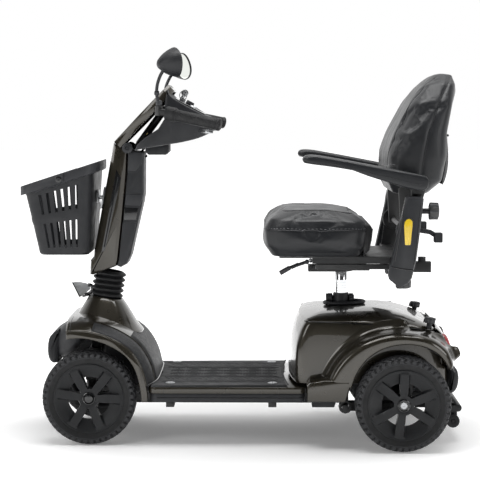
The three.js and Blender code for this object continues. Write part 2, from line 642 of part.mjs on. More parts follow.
function dashHousing() {
  const outer = [
    [-216, 1024], ...DASH_TOP, [-85, 926], [-130, 903], [-220, 884], [-326, 866],
    [-292, 905], [-248, 930], [-228, 960], [-226, 1010],
  ];
  const inner = [
    [-228, 1024], [-200, 1012], [-160, 989], [-108, 962], [-94, 930], [-134, 909], [-220, 890], [-310, 874],
    [-330, 900], [-250, 945], [-240, 1000],
  ];
  const tray = box(-293, -223, -45, 45, 853, 888);
  const housing = join(sidePrism(outer, -DASH_HALF, DASH_HALF, 3), tray);
  const stemWay = rod([BAR.x, 0, BAR.z], [-322, 0, 876], 17, 16);
  const leverSlots = box(-168, -99, -DASH_HALF - 2, DASH_HALF + 2, LEVER_Z - 9, LEVER_Z + 9);
  const barWay = rod([BAR.x, -DASH_HALF - 5, BAR.z], [BAR.x, DASH_HALF + 5, BAR.z], BAR.radius + 2, 16);
  return cut(housing, sidePrism(inner, 6 - DASH_HALF, DASH_HALF - 6), stemWay, leverSlots, barWay);
}
addNode("dash_housing", dashHousing(), "blackPlastic");

const barCorner = (side) => [BAR.x, side * BAR.halfWidth, BAR.z];
const barEnd = (side) => [BAR.end[0], -side * BAR.end[1], BAR.end[2]];
function alongGrip(side, distance) {
  const start = v3(...barCorner(side));
  const direction = v3(...barEnd(side)).sub(start).normalize();
  return start.addScaledVector(direction, distance).toArray();
}
const GRIP = { from: 26, to: 198, radius: 17, barEnd: 188 };

function handlebar() {
  const centre = rod(barCorner(-1), barCorner(1), BAR.radius, 10);
  const arms = [-1, 1].map((side) => rod(barCorner(side), alongGrip(side, GRIP.barEnd), BAR.radius, 10));
  const knees = [-1, 1].map((side) => {
    const [x, y, z] = barCorner(side);
    return rod([x, y, z - 12], [x, y, z + 16], 12, 10);
  });
  const clamp = box(BAR.x - 12, BAR.x + 12, -26, 26, BAR.z - 14, BAR.z + 14);
  const stem = rod([BAR.x, 0, BAR.z], [-316, 0, 884], 12, 10);
  return join(centre, ...arms, ...knees, clamp, stem);
}
addNode("handlebar", handlebar(), "frameBlack");

function grip() {
  const body = rod(alongGrip(-1, GRIP.from), alongGrip(-1, GRIP.to), GRIP.radius, 14);
  const collar = rod(alongGrip(-1, GRIP.from), alongGrip(-1, GRIP.from + 30), GRIP.radius + 3, 14);
  const bore = rod(alongGrip(-1, GRIP.from - 5), alongGrip(-1, GRIP.barEnd + 2), BAR.radius + 1, 10);
  return cut(join(body, collar), bore);
}

// Each mirror has a bent stem and a cone shaped shell whose flat face carries the glass.
const MIRROR = { face: [-192, -236, 1126], depth: 56, tall: 43, wide: 52 };
function mirror() {
  const stem = join(
    rod([BAR.x, -BAR.halfWidth, BAR.z + 19], [BAR.x - 6, -BAR.halfWidth - 10, 1036], 5.5, 8),
    rod([BAR.x - 6, -BAR.halfWidth - 10, 1034], [-222, -246, 1108], 5, 8),
  );
  const geometry = new THREE.LatheGeometry(
    [[0, 0], [13, 4], [29, 22], [43, 52], [43, 56], [0, 56]].map(([r, d]) => new THREE.Vector2(r, d)), 18);
  geometry.scale(MIRROR.wide / MIRROR.tall, 1, 1);
  geometry.translate(0, -MIRROR.depth, 0);
  geometry.rotateZ(-Math.PI / 2);
  geometry.rotateY(-0.12);
  geometry.rotateZ(0.45);
  geometry.translate(...MIRROR.face);
  return join(stem, solid(geometry));
}
addSidePair((side, group) => {
  addNode(`grip_${side}`, grip(), "rubber", group);
  addNode(`mirror_${side}`, mirror(), "blackPlastic", group);
});

function throttleLever() {
  const hub = rod([-160, 0, LEVER_Z - 5], [-160, 0, LEVER_Z + 5], 12, 16);
  const arms = [-1, 1].map((side) => join(
    rod([-160, 0, LEVER_Z], [-128, side * 108, LEVER_Z], 5, 10),
    rod([-128, side * 106, LEVER_Z], [-98, side * 226, LEVER_Z], 5, 10),
    box(-106, -84, side * 226 - 14, side * 226 + 14, LEVER_Z - 5, LEVER_Z + 3),
  ));
  return join(hub, ...arms);
}
addNode("throttle_lever", throttleLever(), "zinc");

// Controls stand square to the sloping dash top.
const DASH_NORMAL = [0.49, 0, 0.872];
const offDash = ([x, z], y, distance) => [x + DASH_NORMAL[0] * distance, y, z + DASH_NORMAL[2] * distance];

const KEY_AT = [-190, 1012.7];
function ignitionKey() {
  const stemEnd = offDash(KEY_AT, -18, 22);
  const stem = rod(offDash(KEY_AT, -18, 1), stemEnd, 5, 12);
  const [x, y, z] = offDash(KEY_AT, -18, 30);
  return join(stem, rod([x, y - 2, z], [x, y + 2, z], 11, 16));
}
addNode("ignition_key", ignitionKey(), "zinc");

const KNOB_AT = [-166, 999.4];
addNode("speed_knob", rod(offDash(KNOB_AT, 14, 1), offDash(KNOB_AT, 14, 16), 14, 20, 12), "blackPlastic");
const HORN_AT = [-150, 991];
addNode("horn_button", rod(offDash(HORN_AT, -60, 3), offDash(HORN_AT, -60, 8), 9, 16), "zinc");

// ---- basket -------------------------------------------------------------------------------
const RIM_SLOPE = 0.326;
const basketTop = (offset) => (x) => 832 + offset + RIM_SLOPE * (x + 440);
const BASKET = {
  front: -646, rear: -441, half: 169, floorFront: -606, floorRear: -457, floorHalf: 138, floor: 558,
};

function basket() {
  const { front, rear, half, floorFront, floorRear, floorHalf, floor } = BASKET;
  const wall = (inset) => loft([
    ring(floorFront + inset, floorRear - inset, floorHalf - inset, floor + inset, 26),
    ring(front + inset, rear - inset, half - inset, basketTop(inset ? 4 : -8), 32),
  ]);
  const lip = loft([
    ring(-651, -425, 175, basketTop(-28), 34),
    ring(-651, -425, 175, basketTop(0), 34),
  ]);
  const slots = [];
  for (const [low, high] of [[586, 642], [672, 728]]) {
    for (let i = 0; i < 6; i += 1) {
      const x = -590 + 20 * i;
      slots.push(box(x - 3, x + 3, -200, 200, low + 2 * i, high + 2 * i));
    }
    for (let i = -1.5; i <= 1.5; i += 1) {
      slots.push(box(-700, -560, 44 * i - 3, 44 * i + 3, low, high));
    }
  }
  return cut(join(wall(0), lip), wall(4), ...slots);
}
addNode("basket", basket(), "blackPlastic");

function basketHandle() {
  const band = (grow, low, high) => loft([low, high].map((offset) =>
    ring(-658 + grow, -400 + grow, 180.5 - 0.75 * grow, basketTop(offset), 37 - 0.66 * grow)));
  const outside = band(0, -26, 1);
  const inside = band(6, -60, 40);
  return cut(outside, inside, box(-528, -380, -190, 190, 700, 900));
}
addNode("basket_handle", basketHandle(), "blackPlastic");

function basketBracket() {
  const plate = sidePrism([[-415.5, 755], [-427.5, 690], [-433, 690], [-421, 755]], -38, 38);
  const arm = rod([-424, 0, 722], [-440, 0, 722], 6, 12);
  const hook = box(-444.5, -439, -34, 34, 706, 744);
  return join(plate, arm, hook);
}
addNode("basket_bracket", basketBracket(), "zinc");

// ---- seat base ----------------------------------------------------------------------------
addNode("seat_post", rod([POST.x, 0, POST.low], [POST.x, 0, POST.top], POST.radius, 18), "chrome");

const LOWER_RAIL = { low: 515, high: 529, front: 219, rear: 439 };
const UPPER_RAIL = { low: 532, high: 554, front: 209, rear: 446 };
const PAN_TOP = 558;

function seatSwivel() {
  const disc = rod([POST.x, 0, POST.top + GAP], [POST.x, 0, 504], 36, 16);
  const head = box(POST.x - 40, POST.x + 30, -40, 40, 503, LOWER_RAIL.low);
  const lock = box(200, POST.x, -30, 30, 497, LOWER_RAIL.low);
  const plate = box(225, 380, -120, 120, LOWER_RAIL.low - 5, LOWER_RAIL.low + 3);
  const rails = boxPair(LOWER_RAIL.front, LOWER_RAIL.rear, 108, 132, LOWER_RAIL.low, LOWER_RAIL.high);
  return join(disc, head, lock, plate, rails);
}
addNode("seat_swivel", seatSwivel(), "frameBlack");

const SIDE_POST = { x: 505, z: 780, y: 270 };
const BACK_HINGE = { x: 480, z: 640, y: 240 };
const BAR_END_X = 575;

// Upper rails, seat pan, arm tubes, hinge plates and the rear accessory tube are one weldment.
function seatFrame() {
  const rails = boxPair(UPPER_RAIL.front, UPPER_RAIL.rear, 106, 134, UPPER_RAIL.low, UPPER_RAIL.high);
  const pan = box(110, 446, -180, 180, UPPER_RAIL.high - 1, PAN_TOP);
  const crossTube = box(440, 472, -282, 282, UPPER_RAIL.low, PAN_TOP);
  const hingePlates = [-1, 1].map((side) => {
    const [y0, y1] = side < 0 ? [-BACK_HINGE.y - 6, -BACK_HINGE.y] : [BACK_HINGE.y, BACK_HINGE.y + 6];
    return join(
      sidePrism([[440, 540], [472, 540], [510, 616], [506, 660], [484, 672], [456, 660]], y0, y1),
      rod([BACK_HINGE.x, y0, BACK_HINGE.z], [BACK_HINGE.x, y1, BACK_HINGE.z], 32, 14),
    );
  });
  const hingePins = [-1, 1].map((side) =>
    rod([BACK_HINGE.x, side * 222, BACK_HINGE.z], [BACK_HINGE.x, side * 242, BACK_HINGE.z], 7, 8));
  const uprights = [-1, 1].map((side) => {
    const [y0, y1] = side < 0 ? [-282, -262] : [262, 282];
    const uprightOutline = [[440, 532], [472, 532], [514, 700], [516, 748], [492, 748], [488, 704]];
    const upright = sidePrism(uprightOutline, y0, y1);
    const tongue = box(494, 516, side * 272 - 6, side * 272 + 6, 740, 791);
    const knobStem = rod([500, side * 262, 700], [543, side * 262, 698], 6, 8);
    const knob = rod([541, side * 262, 698], [566, side * 262, 697], 24, 12);
    const lowStem = rod([470, side * 200, 540], [474, side * 200, 490], 6, 8);
    const lowKnob = rod([473, side * 200, 492], [475, side * 200, 468], 22, 12);
    return join(upright, tongue, knobStem, knob, lowStem, lowKnob);
  });
  const rearTube = box(446, BAR_END_X, -16, 16, 494, 526);
  const rearHanger = box(446, 472, -16, 16, 494, 540);
  const rearKnob = rod([548, 0, 524], [548, 0, 540], 12, 16);
  const whole = join(
    rails, pan, crossTube, ...hingePlates, ...hingePins, ...uprights, rearTube, rearHanger, rearKnob,
  );
  const armBores = [-1, 1].map((side) =>
    rod([SIDE_POST.x, side * 260, SIDE_POST.z], [SIDE_POST.x, side * 300, SIDE_POST.z], 5.2, 10));
  return cut(whole, ...armBores);
}
addNode("seat_frame", seatFrame(), "frameBlack");

const SLIDE_LEVER = { x: 192, y: -158, z: 540 };
const SWIVEL_LEVER = { x: 210, y: 64, z: 522 };
function seatLever({ x, y, z }, pinHalf, kneeX, kneeZ, tipX, tipZ, thickness) {
  const pin = rod([x, y - pinHalf, z], [x, y + pinHalf, z], 6, 12);
  const arm = rod([x, y, z], [kneeX, y, kneeZ], thickness, 12);
  const pad = rod([kneeX + 1, y, kneeZ + 0.5], [tipX, y, tipZ], thickness + 2, 12);
  return join(pin, arm, pad);
}
addNode("slide_lever", seatLever(SLIDE_LEVER, 14, 140, 522, 112, 506, 5), "blackPlastic");
addNode("swivel_lever", seatLever(SWIVEL_LEVER, 12, 172, 510, 150, 500, 4), "zinc");

// ---- cushion, backrest, armrests and side covers ------------------------------------------
function seatCushion() {
  return loft([
    ring(86, 350, 212, PAN_TOP + 1, 40, 5),
    ring(66, 368, 234, 590, 50, 5),
    ring(58, 378, 240, 642, 56, 5),
    ring(74, 372, 228, 672, 60, 5),
    ring(118, 340, 190, 684, 60, 5),
  ]);
}
addNode("seat_cushion", seatCushion(), "vinyl");

function backrest() {
  const pad = loft([
    ring(440, 548, 200, 744, 30, 4),
    ring(420, 588, 230, 780, 40, 4),
    ring(426, 602, 234, 852, 44, 4),
    ring(451, 603, 228, 920, 40, 4),
    ring(500, 622, 202, 1014, 34, 4),
    ring(540, 636, 160, 1066, 30, 4),
    ring(584, 634, 104, 1098, 20, 4),
  ]);
  const bracketOutline = [[464, 630], [496, 630], [540, 770], [490, 790], [456, 760]];
  const brackets = [-1, 1].map((side) => {
    const [y0, y1] = side < 0 ? [-215, -205] : [205, 215];
    const { x, z } = BACK_HINGE;
    const boss = rod([x, side * 205, z], [x, side * 220, z], 22, 16);
    return join(sidePrism(bracketOutline, y0, y1), boss);
  });
  const lowerBar = box(470, 490, -206, 206, 632, 648);
  return join(pad, ...brackets, lowerBar);
}
addNode("backrest", backrest(), "vinyl");

function armrest() {
  const pad = sidePrism([
    [176, 836], [174, 848], [188, 861], [230, 858], [505, 806], [530, 796],
    [531, 768], [516, 760], [470, 766], [354, 803], [330, 816], [200, 836],
  ], -316, -258, 7);
  const slot = box(486, 540, -284, -264, 750, 797);
  const pin = rod([SIDE_POST.x, -262, SIDE_POST.z], [SIDE_POST.x, -286, SIDE_POST.z], 4.4, 10);
  return join(cut(pad, slot), pin);
}
function sideCover() {
  const points = [
    [468, 739], [520, 737], [512, 660], [500, 560], [485, 504], [452, 485], [420, 513], [436, 590],
  ];
  return cut(sidePrism(points, -318, -284, 6), box(430, 520, -300, -283, 545, 720));
}
addSidePair((side, group) => {
  addNode(`armrest_${side}`, armrest(), "blackPlastic", group);
  addNode(`side_cover_${side}`, sideCover(), "blackPlastic", group);
});

export default scooter;
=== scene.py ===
"""Mobility scooter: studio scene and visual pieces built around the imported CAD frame.

Shapes are drawn in millimetres in the CAD frame (+Z up, the scooter faces -X, left is -Y) and place()
turns them into metres. The camera, the lights and the materials are in metres.
"""
import json
from math import cos, exp, pi, radians, sin

import bmesh
import bpy
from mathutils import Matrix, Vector
from mathutils.bvhtree import BVHTree


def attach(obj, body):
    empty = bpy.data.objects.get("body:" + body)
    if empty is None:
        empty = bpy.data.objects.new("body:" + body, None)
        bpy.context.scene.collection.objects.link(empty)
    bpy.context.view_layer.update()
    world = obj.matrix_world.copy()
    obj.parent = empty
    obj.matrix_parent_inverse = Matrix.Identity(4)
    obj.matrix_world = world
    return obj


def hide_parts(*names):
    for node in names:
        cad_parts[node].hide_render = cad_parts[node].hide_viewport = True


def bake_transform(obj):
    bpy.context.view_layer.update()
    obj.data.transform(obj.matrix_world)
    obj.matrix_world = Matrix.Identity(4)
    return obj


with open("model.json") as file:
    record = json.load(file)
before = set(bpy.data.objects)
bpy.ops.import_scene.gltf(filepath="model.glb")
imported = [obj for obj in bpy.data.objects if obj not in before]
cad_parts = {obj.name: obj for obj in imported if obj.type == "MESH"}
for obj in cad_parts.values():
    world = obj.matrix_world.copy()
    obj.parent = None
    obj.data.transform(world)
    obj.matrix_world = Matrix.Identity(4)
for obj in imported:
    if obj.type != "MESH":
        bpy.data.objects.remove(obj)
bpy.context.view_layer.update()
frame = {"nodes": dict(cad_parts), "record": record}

MM = 0.001
NODES = frame["nodes"]
SIDES = (("left", -1), ("right", 1))


# ---- camera and studio ----------------------------------------------------------------------
def add_camera():
    data = bpy.data.cameras.new("camera")
    data.lens = 116.4
    data.sensor_width = 36
    camera = bpy.data.objects.new("camera", data)
    camera.location = (0.055, -4.737, 1.0)
    pitch, yaw = radians(4.935), radians(0.77)
    forward = Vector((-sin(yaw) * cos(pitch), cos(yaw) * cos(pitch), -sin(pitch)))
    camera.rotation_euler = forward.to_track_quat("-Z", "Y").to_euler()
    bpy.context.scene.collection.objects.link(camera)
    bpy.context.scene.camera = camera


def add_area_light(name, location, target, size, power):
    data = bpy.data.lights.new(name, "AREA")
    data.shape = "RECTANGLE"
    data.size, data.size_y = size
    data.energy = power
    light = bpy.data.objects.new(name, data)
    light.location = location
    aim = Vector(target) - Vector(location)
    light.rotation_euler = aim.to_track_quat("-Z", "Y").to_euler()
    bpy.context.scene.collection.objects.link(light)


def add_studio():
    scene = bpy.context.scene
    scene.view_settings.view_transform = "Standard"
    world = bpy.data.worlds.new("studio")
    scene.world = world
    world.use_nodes = True
    tree = world.node_tree
    background = tree.nodes["Background"]
    background.inputs["Color"].default_value = (1, 1, 1, 1)
    direction = tree.nodes.new("ShaderNodeTexCoord").outputs["Generated"]
    split = tree.nodes.new("ShaderNodeSeparateXYZ")
    tree.links.new(direction, split.inputs["Vector"])
    fade = tree.nodes.new("ShaderNodeMapRange")
    for name, value in (("From Min", -0.1), ("From Max", 0.4), ("To Min", 0.07), ("To Max", 1.0)):
        fade.inputs[name].default_value = value
    tree.links.new(split.outputs["Y"], fade.inputs["Value"])
    tree.links.new(fade.outputs["Result"], background.inputs["Strength"])
    add_area_light("top_softbox", (0.1, -0.3, 3.2), (0, 0, 0.4), (2.6, 1.6), 75)
    add_area_light("left_softbox", (-2.6, -2.6, 1.9), (0, 0, 0.6), (1.4, 1.8), 30)
    add_area_light("right_softbox", (2.8, -2.2, 1.7), (0.2, 0, 0.6), (1.2, 1.6), 22)
    mesh = bpy.data.meshes.new("studio_floor")
    reach = 30.0
    mesh.from_pydata([(-reach, -reach, 0), (reach, -reach, 0), (reach, reach, 0), (-reach, reach, 0)], [],
                     [(0, 1, 2, 3)])
    floor = bpy.data.objects.new("studio_floor", mesh)
    scene.collection.objects.link(floor)
    material = bpy.data.materials.new("studio_floor")
    material.use_nodes = True
    shader = material.node_tree.nodes["Principled BSDF"]
    shader.inputs["Base Color"].default_value = (0.93, 0.93, 0.93, 1)
    shader.inputs["Roughness"].default_value = 0.9
    shader.inputs["Emission Color"].default_value = (1, 1, 1, 1)
    nodes, links = material.node_tree.nodes, material.node_tree.links
    place_on_floor = nodes.new("ShaderNodeTexCoord").outputs["Object"]
    away = nodes.new("ShaderNodeVectorMath")
    away.operation = "LENGTH"
    links.new(place_on_floor, away.inputs[0])
    glow = nodes.new("ShaderNodeMapRange")
    for name, value in (("From Min", 0.45), ("From Max", 1.6), ("To Min", 0.12), ("To Max", 0.85)):
        glow.inputs[name].default_value = value
    links.new(away.outputs["Value"], glow.inputs["Value"])
    links.new(glow.outputs["Result"], shader.inputs["Emission Strength"])
    floor.data.materials.append(material)


# ---- materials ------------------------------------------------------------------------------
class Finish:
    """A procedural material: noise breaks up its colour and roughness, and its bumps are summed."""

    def __init__(self, name, colour, roughness, metallic=0.0, coat=0.0, sheen=0.0, vary=0.25, blotch=60.0):
        self.material = bpy.data.materials.new(name)
        self.material.use_nodes = True
        self.tree = self.material.node_tree
        self.shader = self.tree.nodes["Principled BSDF"]
        self.shader.inputs["Metallic"].default_value = metallic
        self.shader.inputs["Coat Weight"].default_value = coat
        self.shader.inputs["Coat Roughness"].default_value = 0.04
        self.shader.inputs["Sheen Weight"].default_value = sheen
        self.shader.inputs["Specular IOR Level"].default_value = 0.4
        self.place = self.node("ShaderNodeTexCoord").outputs["Object"]
        self.height = None
        noise = self.noise(blotch, 4)
        dark = tuple(c * (1 - vary) for c in colour)
        light = tuple(min(1, c * (1 + vary)) for c in colour)
        self.colour = self.mix(noise, dark, light)
        self.link(self.colour, self.shader.inputs["Base Color"])
        rough = self.remap(self.noise(blotch * 1.7, 3), 0.3, 0.7, roughness * 0.82,
                           min(1, roughness * 1.18))
        self.link(rough, self.shader.inputs["Roughness"])

    def node(self, kind, **values):
        made = self.tree.nodes.new(kind)
        for key, value in values.items():
            setattr(made, key, value)
        return made

    def link(self, output, socket):
        self.tree.links.new(output, socket)

    def noise(self, scale, detail=2.0):
        made = self.node("ShaderNodeTexNoise")
        made.inputs["Scale"].default_value = scale
        made.inputs["Detail"].default_value = detail
        self.link(self.place, made.inputs["Vector"])
        return made.outputs["Fac"]

    def voronoi(self, scale, feature="F1"):
        made = self.node("ShaderNodeTexVoronoi", feature=feature)
        made.inputs["Scale"].default_value = scale
        self.link(self.place, made.inputs["Vector"])
        return made.outputs["Distance"]

    def wave(self, scale, direction):
        made = self.node("ShaderNodeTexWave", bands_direction=direction)
        made.inputs["Scale"].default_value = scale
        self.link(self.place, made.inputs["Vector"])
        return made.outputs["Fac"]

    def mix(self, factor, first, second):
        """Mixes two colours; sockets 6 and 7 are the Mix node's colour inputs, and output 2 its colour."""
        made = self.node("ShaderNodeMix", data_type="RGBA")
        self.link(factor, made.inputs[0])
        for socket, value in ((made.inputs[6], first), (made.inputs[7], second)):
            if isinstance(value, tuple):
                socket.default_value = (*value[:3], 1)
            else:
                self.link(value, socket)
        return made.outputs[2]

    def remap(self, value, low, high, to_low, to_high):
        made = self.node("ShaderNodeMapRange")
        for name, number in (("From Min", low), ("From Max", high), ("To Min", to_low),
                             ("To Max", to_high)):
            made.inputs[name].default_value = number
        self.link(value, made.inputs["Value"])
        return made.outputs["Result"]

    def recolour(self, factor, colour):
        self.colour = self.mix(factor, self.colour, colour)
        self.link(self.colour, self.shader.inputs["Base Color"])
        return self

    def bump(self, height, strength, distance):
        made = self.node("ShaderNodeBump")
        made.inputs["Strength"].default_value = strength
        made.inputs["Distance"].default_value = distance
        self.link(height, made.inputs["Height"])
        if self.height:
            self.link(self.height, made.inputs["Normal"])
        self.height = made.outputs["Normal"]
        self.link(self.height, self.shader.inputs["Normal"])
        return self

    # Painted highlight: sharp convex edges get a lighter colour, which stands in for the light they catch.
    def paint_edge_highlights(self, colour, low, high):
        pointiness = self.node("ShaderNodeNewGeometry").outputs["Pointiness"]
        return self.recolour(self.remap(pointiness, low, high, 0, 0.55), colour)


# name: (colour, roughness, settings, bumps, painted edge highlight). A bump is its texture and that texture's
# arguments, then its strength and depth; the painted edge highlight is a lighter colour and the pointiness
# range where it fades in.
FINISH_TABLE = {
    "olive_gloss": ((0.0285, 0.0242, 0.0161), 0.3,
                    {"metallic": 0.55, "coat": 1.0, "vary": 0.12, "blotch": 9},
                    [("noise", (14, 1), 0.05, 0.002)], None),
    "black_plastic": ((0.0096, 0.0105, 0.0126), 0.5, {"vary": 0.2, "blotch": 18},
                      [("noise", (900, 3), 0.22, 0.0004)], ((0.07, 0.072, 0.078), 0.53, 0.6)),
    "grained_plastic": ((0.0132, 0.0144, 0.0168), 0.62, {"blotch": 40},
                        [("voronoi", (520, "SMOOTH_F1"), 0.6, 0.0006)], None),
    "gloss_black": ((0.0056, 0.006, 0.0066), 0.2, {"coat": 0.7, "vary": 0.15, "blotch": 14},
                    [("noise", (30, 1), 0.05, 0.001)], None),
    "carbon_inlay": ((0.0094, 0.0099, 0.011), 0.5, {"vary": 0.3, "blotch": 60},
                     [("wave", (110, "DIAGONAL"), 0.5, 0.0006)], None),
    "frame_steel": ((0.0084, 0.0088, 0.0094), 0.42, {"metallic": 0.1, "vary": 0.2, "blotch": 30},
                    [("noise", (420, 2), 0.25, 0.0005)], ((0.12, 0.12, 0.12), 0.53, 0.6)),
    "wheel_alloy": ((0.0102, 0.0109, 0.0121), 0.46, {"metallic": 0.15, "vary": 0.15, "blotch": 16},
                    [("noise", (700, 2), 0.16, 0.0004)], ((0.06, 0.062, 0.065), 0.53, 0.6)),
    "tyre_rubber": ((0.0059, 0.0061, 0.0067), 0.6, {"vary": 0.35, "blotch": 35},
                    [("noise", (380, 4), 0.35, 0.0006)], ((0.05, 0.051, 0.055), 0.52, 0.62)),
    "soft_rubber": ((0.0081, 0.0083, 0.0091), 0.55, {"blotch": 28}, [("noise", (600, 3), 0.3, 0.0005)],
                    None),
    "mat_rubber": ((0.02, 0.0205, 0.0215), 0.72, {"vary": 0.3, "blotch": 22},
                   [("noise", (800, 2), 0.5, 0.0006)], ((0.075, 0.076, 0.08), 0.52, 0.6)),
    "vinyl": ((0.0105, 0.0114, 0.0133), 0.4, {"sheen": 0.05, "vary": 0.18, "blotch": 12},
              [("voronoi", (430, "SMOOTH_F1"), 0.45, 0.0006), ("noise", (26, 3), 0.25, 0.002)], None),
    "mesh_cloth": ((0.016, 0.0165, 0.018), 0.85, {"sheen": 0.2, "vary": 0.3, "blotch": 30},
                   [("voronoi", (700,), 0.8, 0.001)], None),
    "grey_thread": ((0.2, 0.2, 0.21), 0.7, {"vary": 0.2, "blotch": 200},
                    [("noise", (1500, 2), 0.5, 0.0003)], None),
    "chrome_steel": ((0.72, 0.73, 0.74), 0.09, {"metallic": 1.0, "vary": 0.04, "blotch": 40},
                     [("noise", (60, 2), 0.03, 0.0005)], None),
    "zinc_steel": ((0.45, 0.46, 0.47), 0.32, {"metallic": 1.0, "vary": 0.2, "blotch": 50},
                   [("wave", (160, "Z"), 0.08, 0.0004)], None),
    "red_lens": ((0.42, 0.008, 0.014), 0.12, {"coat": 1.0, "blotch": 60},
                 [("wave", (120, "Z"), 0.5, 0.0015)], None),
    "clear_lens": ((0.82, 0.84, 0.86), 0.1, {"metallic": 0.55, "coat": 1.0, "vary": 0.06, "blotch": 50},
                   [("wave", (90, "Z"), 0.35, 0.001)], None),
    "mirror_glass": ((0.86, 0.88, 0.84), 0.04, {"metallic": 1.0, "vary": 0.03, "blotch": 20},
                     [("noise", (8, 1), 0.02, 0.001)], None),
    "amber_reflector": ((0.72, 0.5, 0.02), 0.18, {"coat": 1.0, "vary": 0.12, "blotch": 80},
                        [("voronoi", (320, "SMOOTH_F1"), 0.6, 0.001)], None),
}
FINISHES = {}


def make_finishes():
    for name, (colour, roughness, settings, bumps, edge_highlight) in FINISH_TABLE.items():
        finish = FINISHES[name] = Finish(name, colour, roughness, **settings)
        for texture, arguments, strength, depth in bumps:
            finish.bump(getattr(finish, texture)(*arguments), strength, depth)
        # The painted edge highlight: a lighter colour on sharp edges, where this finish has one.
        if edge_highlight:
            finish.paint_edge_highlights(*edge_highlight)
    olive, carbon = FINISHES["olive_gloss"], FINISHES["carbon_inlay"]
    olive.recolour(olive.remap(olive.voronoi(2600), 0.05, 0.3, 0.35, 0), (0.16, 0.14, 0.1))
    weave = carbon.wave(110, "DIAGONAL")
    carbon.recolour(carbon.remap(weave, 0.4, 0.6, 0, 0.35), (0.05, 0.052, 0.056))
    FINISHES["red_lens"].shader.inputs["Transmission Weight"].default_value = 0.15


add_camera()
add_studio()
make_finishes()


# ---- geometry kit ---------------------------------------------------------------------------
def spline(points, steps):
    """A Catmull-Rom curve through the points, with that many steps between each two."""
    padded = [points[0], *points, points[-1]]
    curve = []
    for i in range(1, len(padded) - 2):
        before, start, end, after = (Vector(p) for p in padded[i - 1:i + 3])
        for k in range(steps):
            t = k / steps
            curve.append(0.5 * (2 * start + (end - before) * t
                                + (2 * before - 5 * start + 4 * end - after) * t ** 2
                                + (3 * start - before - 3 * end + after) * t ** 3))
    return [tuple(p) for p in curve] + [tuple(points[-1])]


def interpolate(table, x):
    """The value at x on a line through (x, value) pairs given in rising order."""
    for (x0, v0), (x1, v1) in zip(table, table[1:]):
        if x <= x1:
            share = max(0, (x - x0) / (x1 - x0))
            return v0 + (v1 - v0) * share
    return table[-1][1]


def inset_outline(outline, distance):
    """A closed outline moved inwards by that distance."""
    area = sum(a[0] * b[1] - b[0] * a[1] for a, b in zip(outline, outline[1:] + outline[:1]))
    turn = 1 if area > 0 else -1
    moved = []
    for before, here, after in zip(outline[-1:] + outline[:-1], outline, outline[1:] + outline[:1]):
        first = (Vector(here) - Vector(before)).normalized()
        second = (Vector(after) - Vector(here)).normalized()
        normal = Vector((-first.y - second.y, first.x + second.x)) * turn
        normal.normalize()
        reach = distance / max(0.5, normal.dot(Vector((-first.y, first.x)) * turn))
        moved.append((here[0] + normal.x * reach, here[1] + normal.y * reach))
    return moved


def turns(count, extra=0):
    """That many equal angles round a circle; extra repeats the first ones to close a path."""
    return [2 * pi * k / count for k in range(count + extra)]


def mirrored(points):
    """The points across the middle plane, in reverse order, so that the two halves join into one outline."""
    return [(x, -y) for x, y in reversed(points)]


def signed_power(value, power):
    """Squares off a sine or cosine: 1 keeps the circle, and a smaller power gives it corners."""
    return abs(value) ** power * (1 if value > 0 else -1)


def frame_about(axis):
    """Unit vectors along the axis, level across it, and up."""
    along = Vector(axis).normalized()
    across = along.cross(Vector((0, 0, 1)))
    if across.length < 0.01:
        across = Vector((1, 0, 0))
    across.normalize()
    return along, across, across.cross(along)


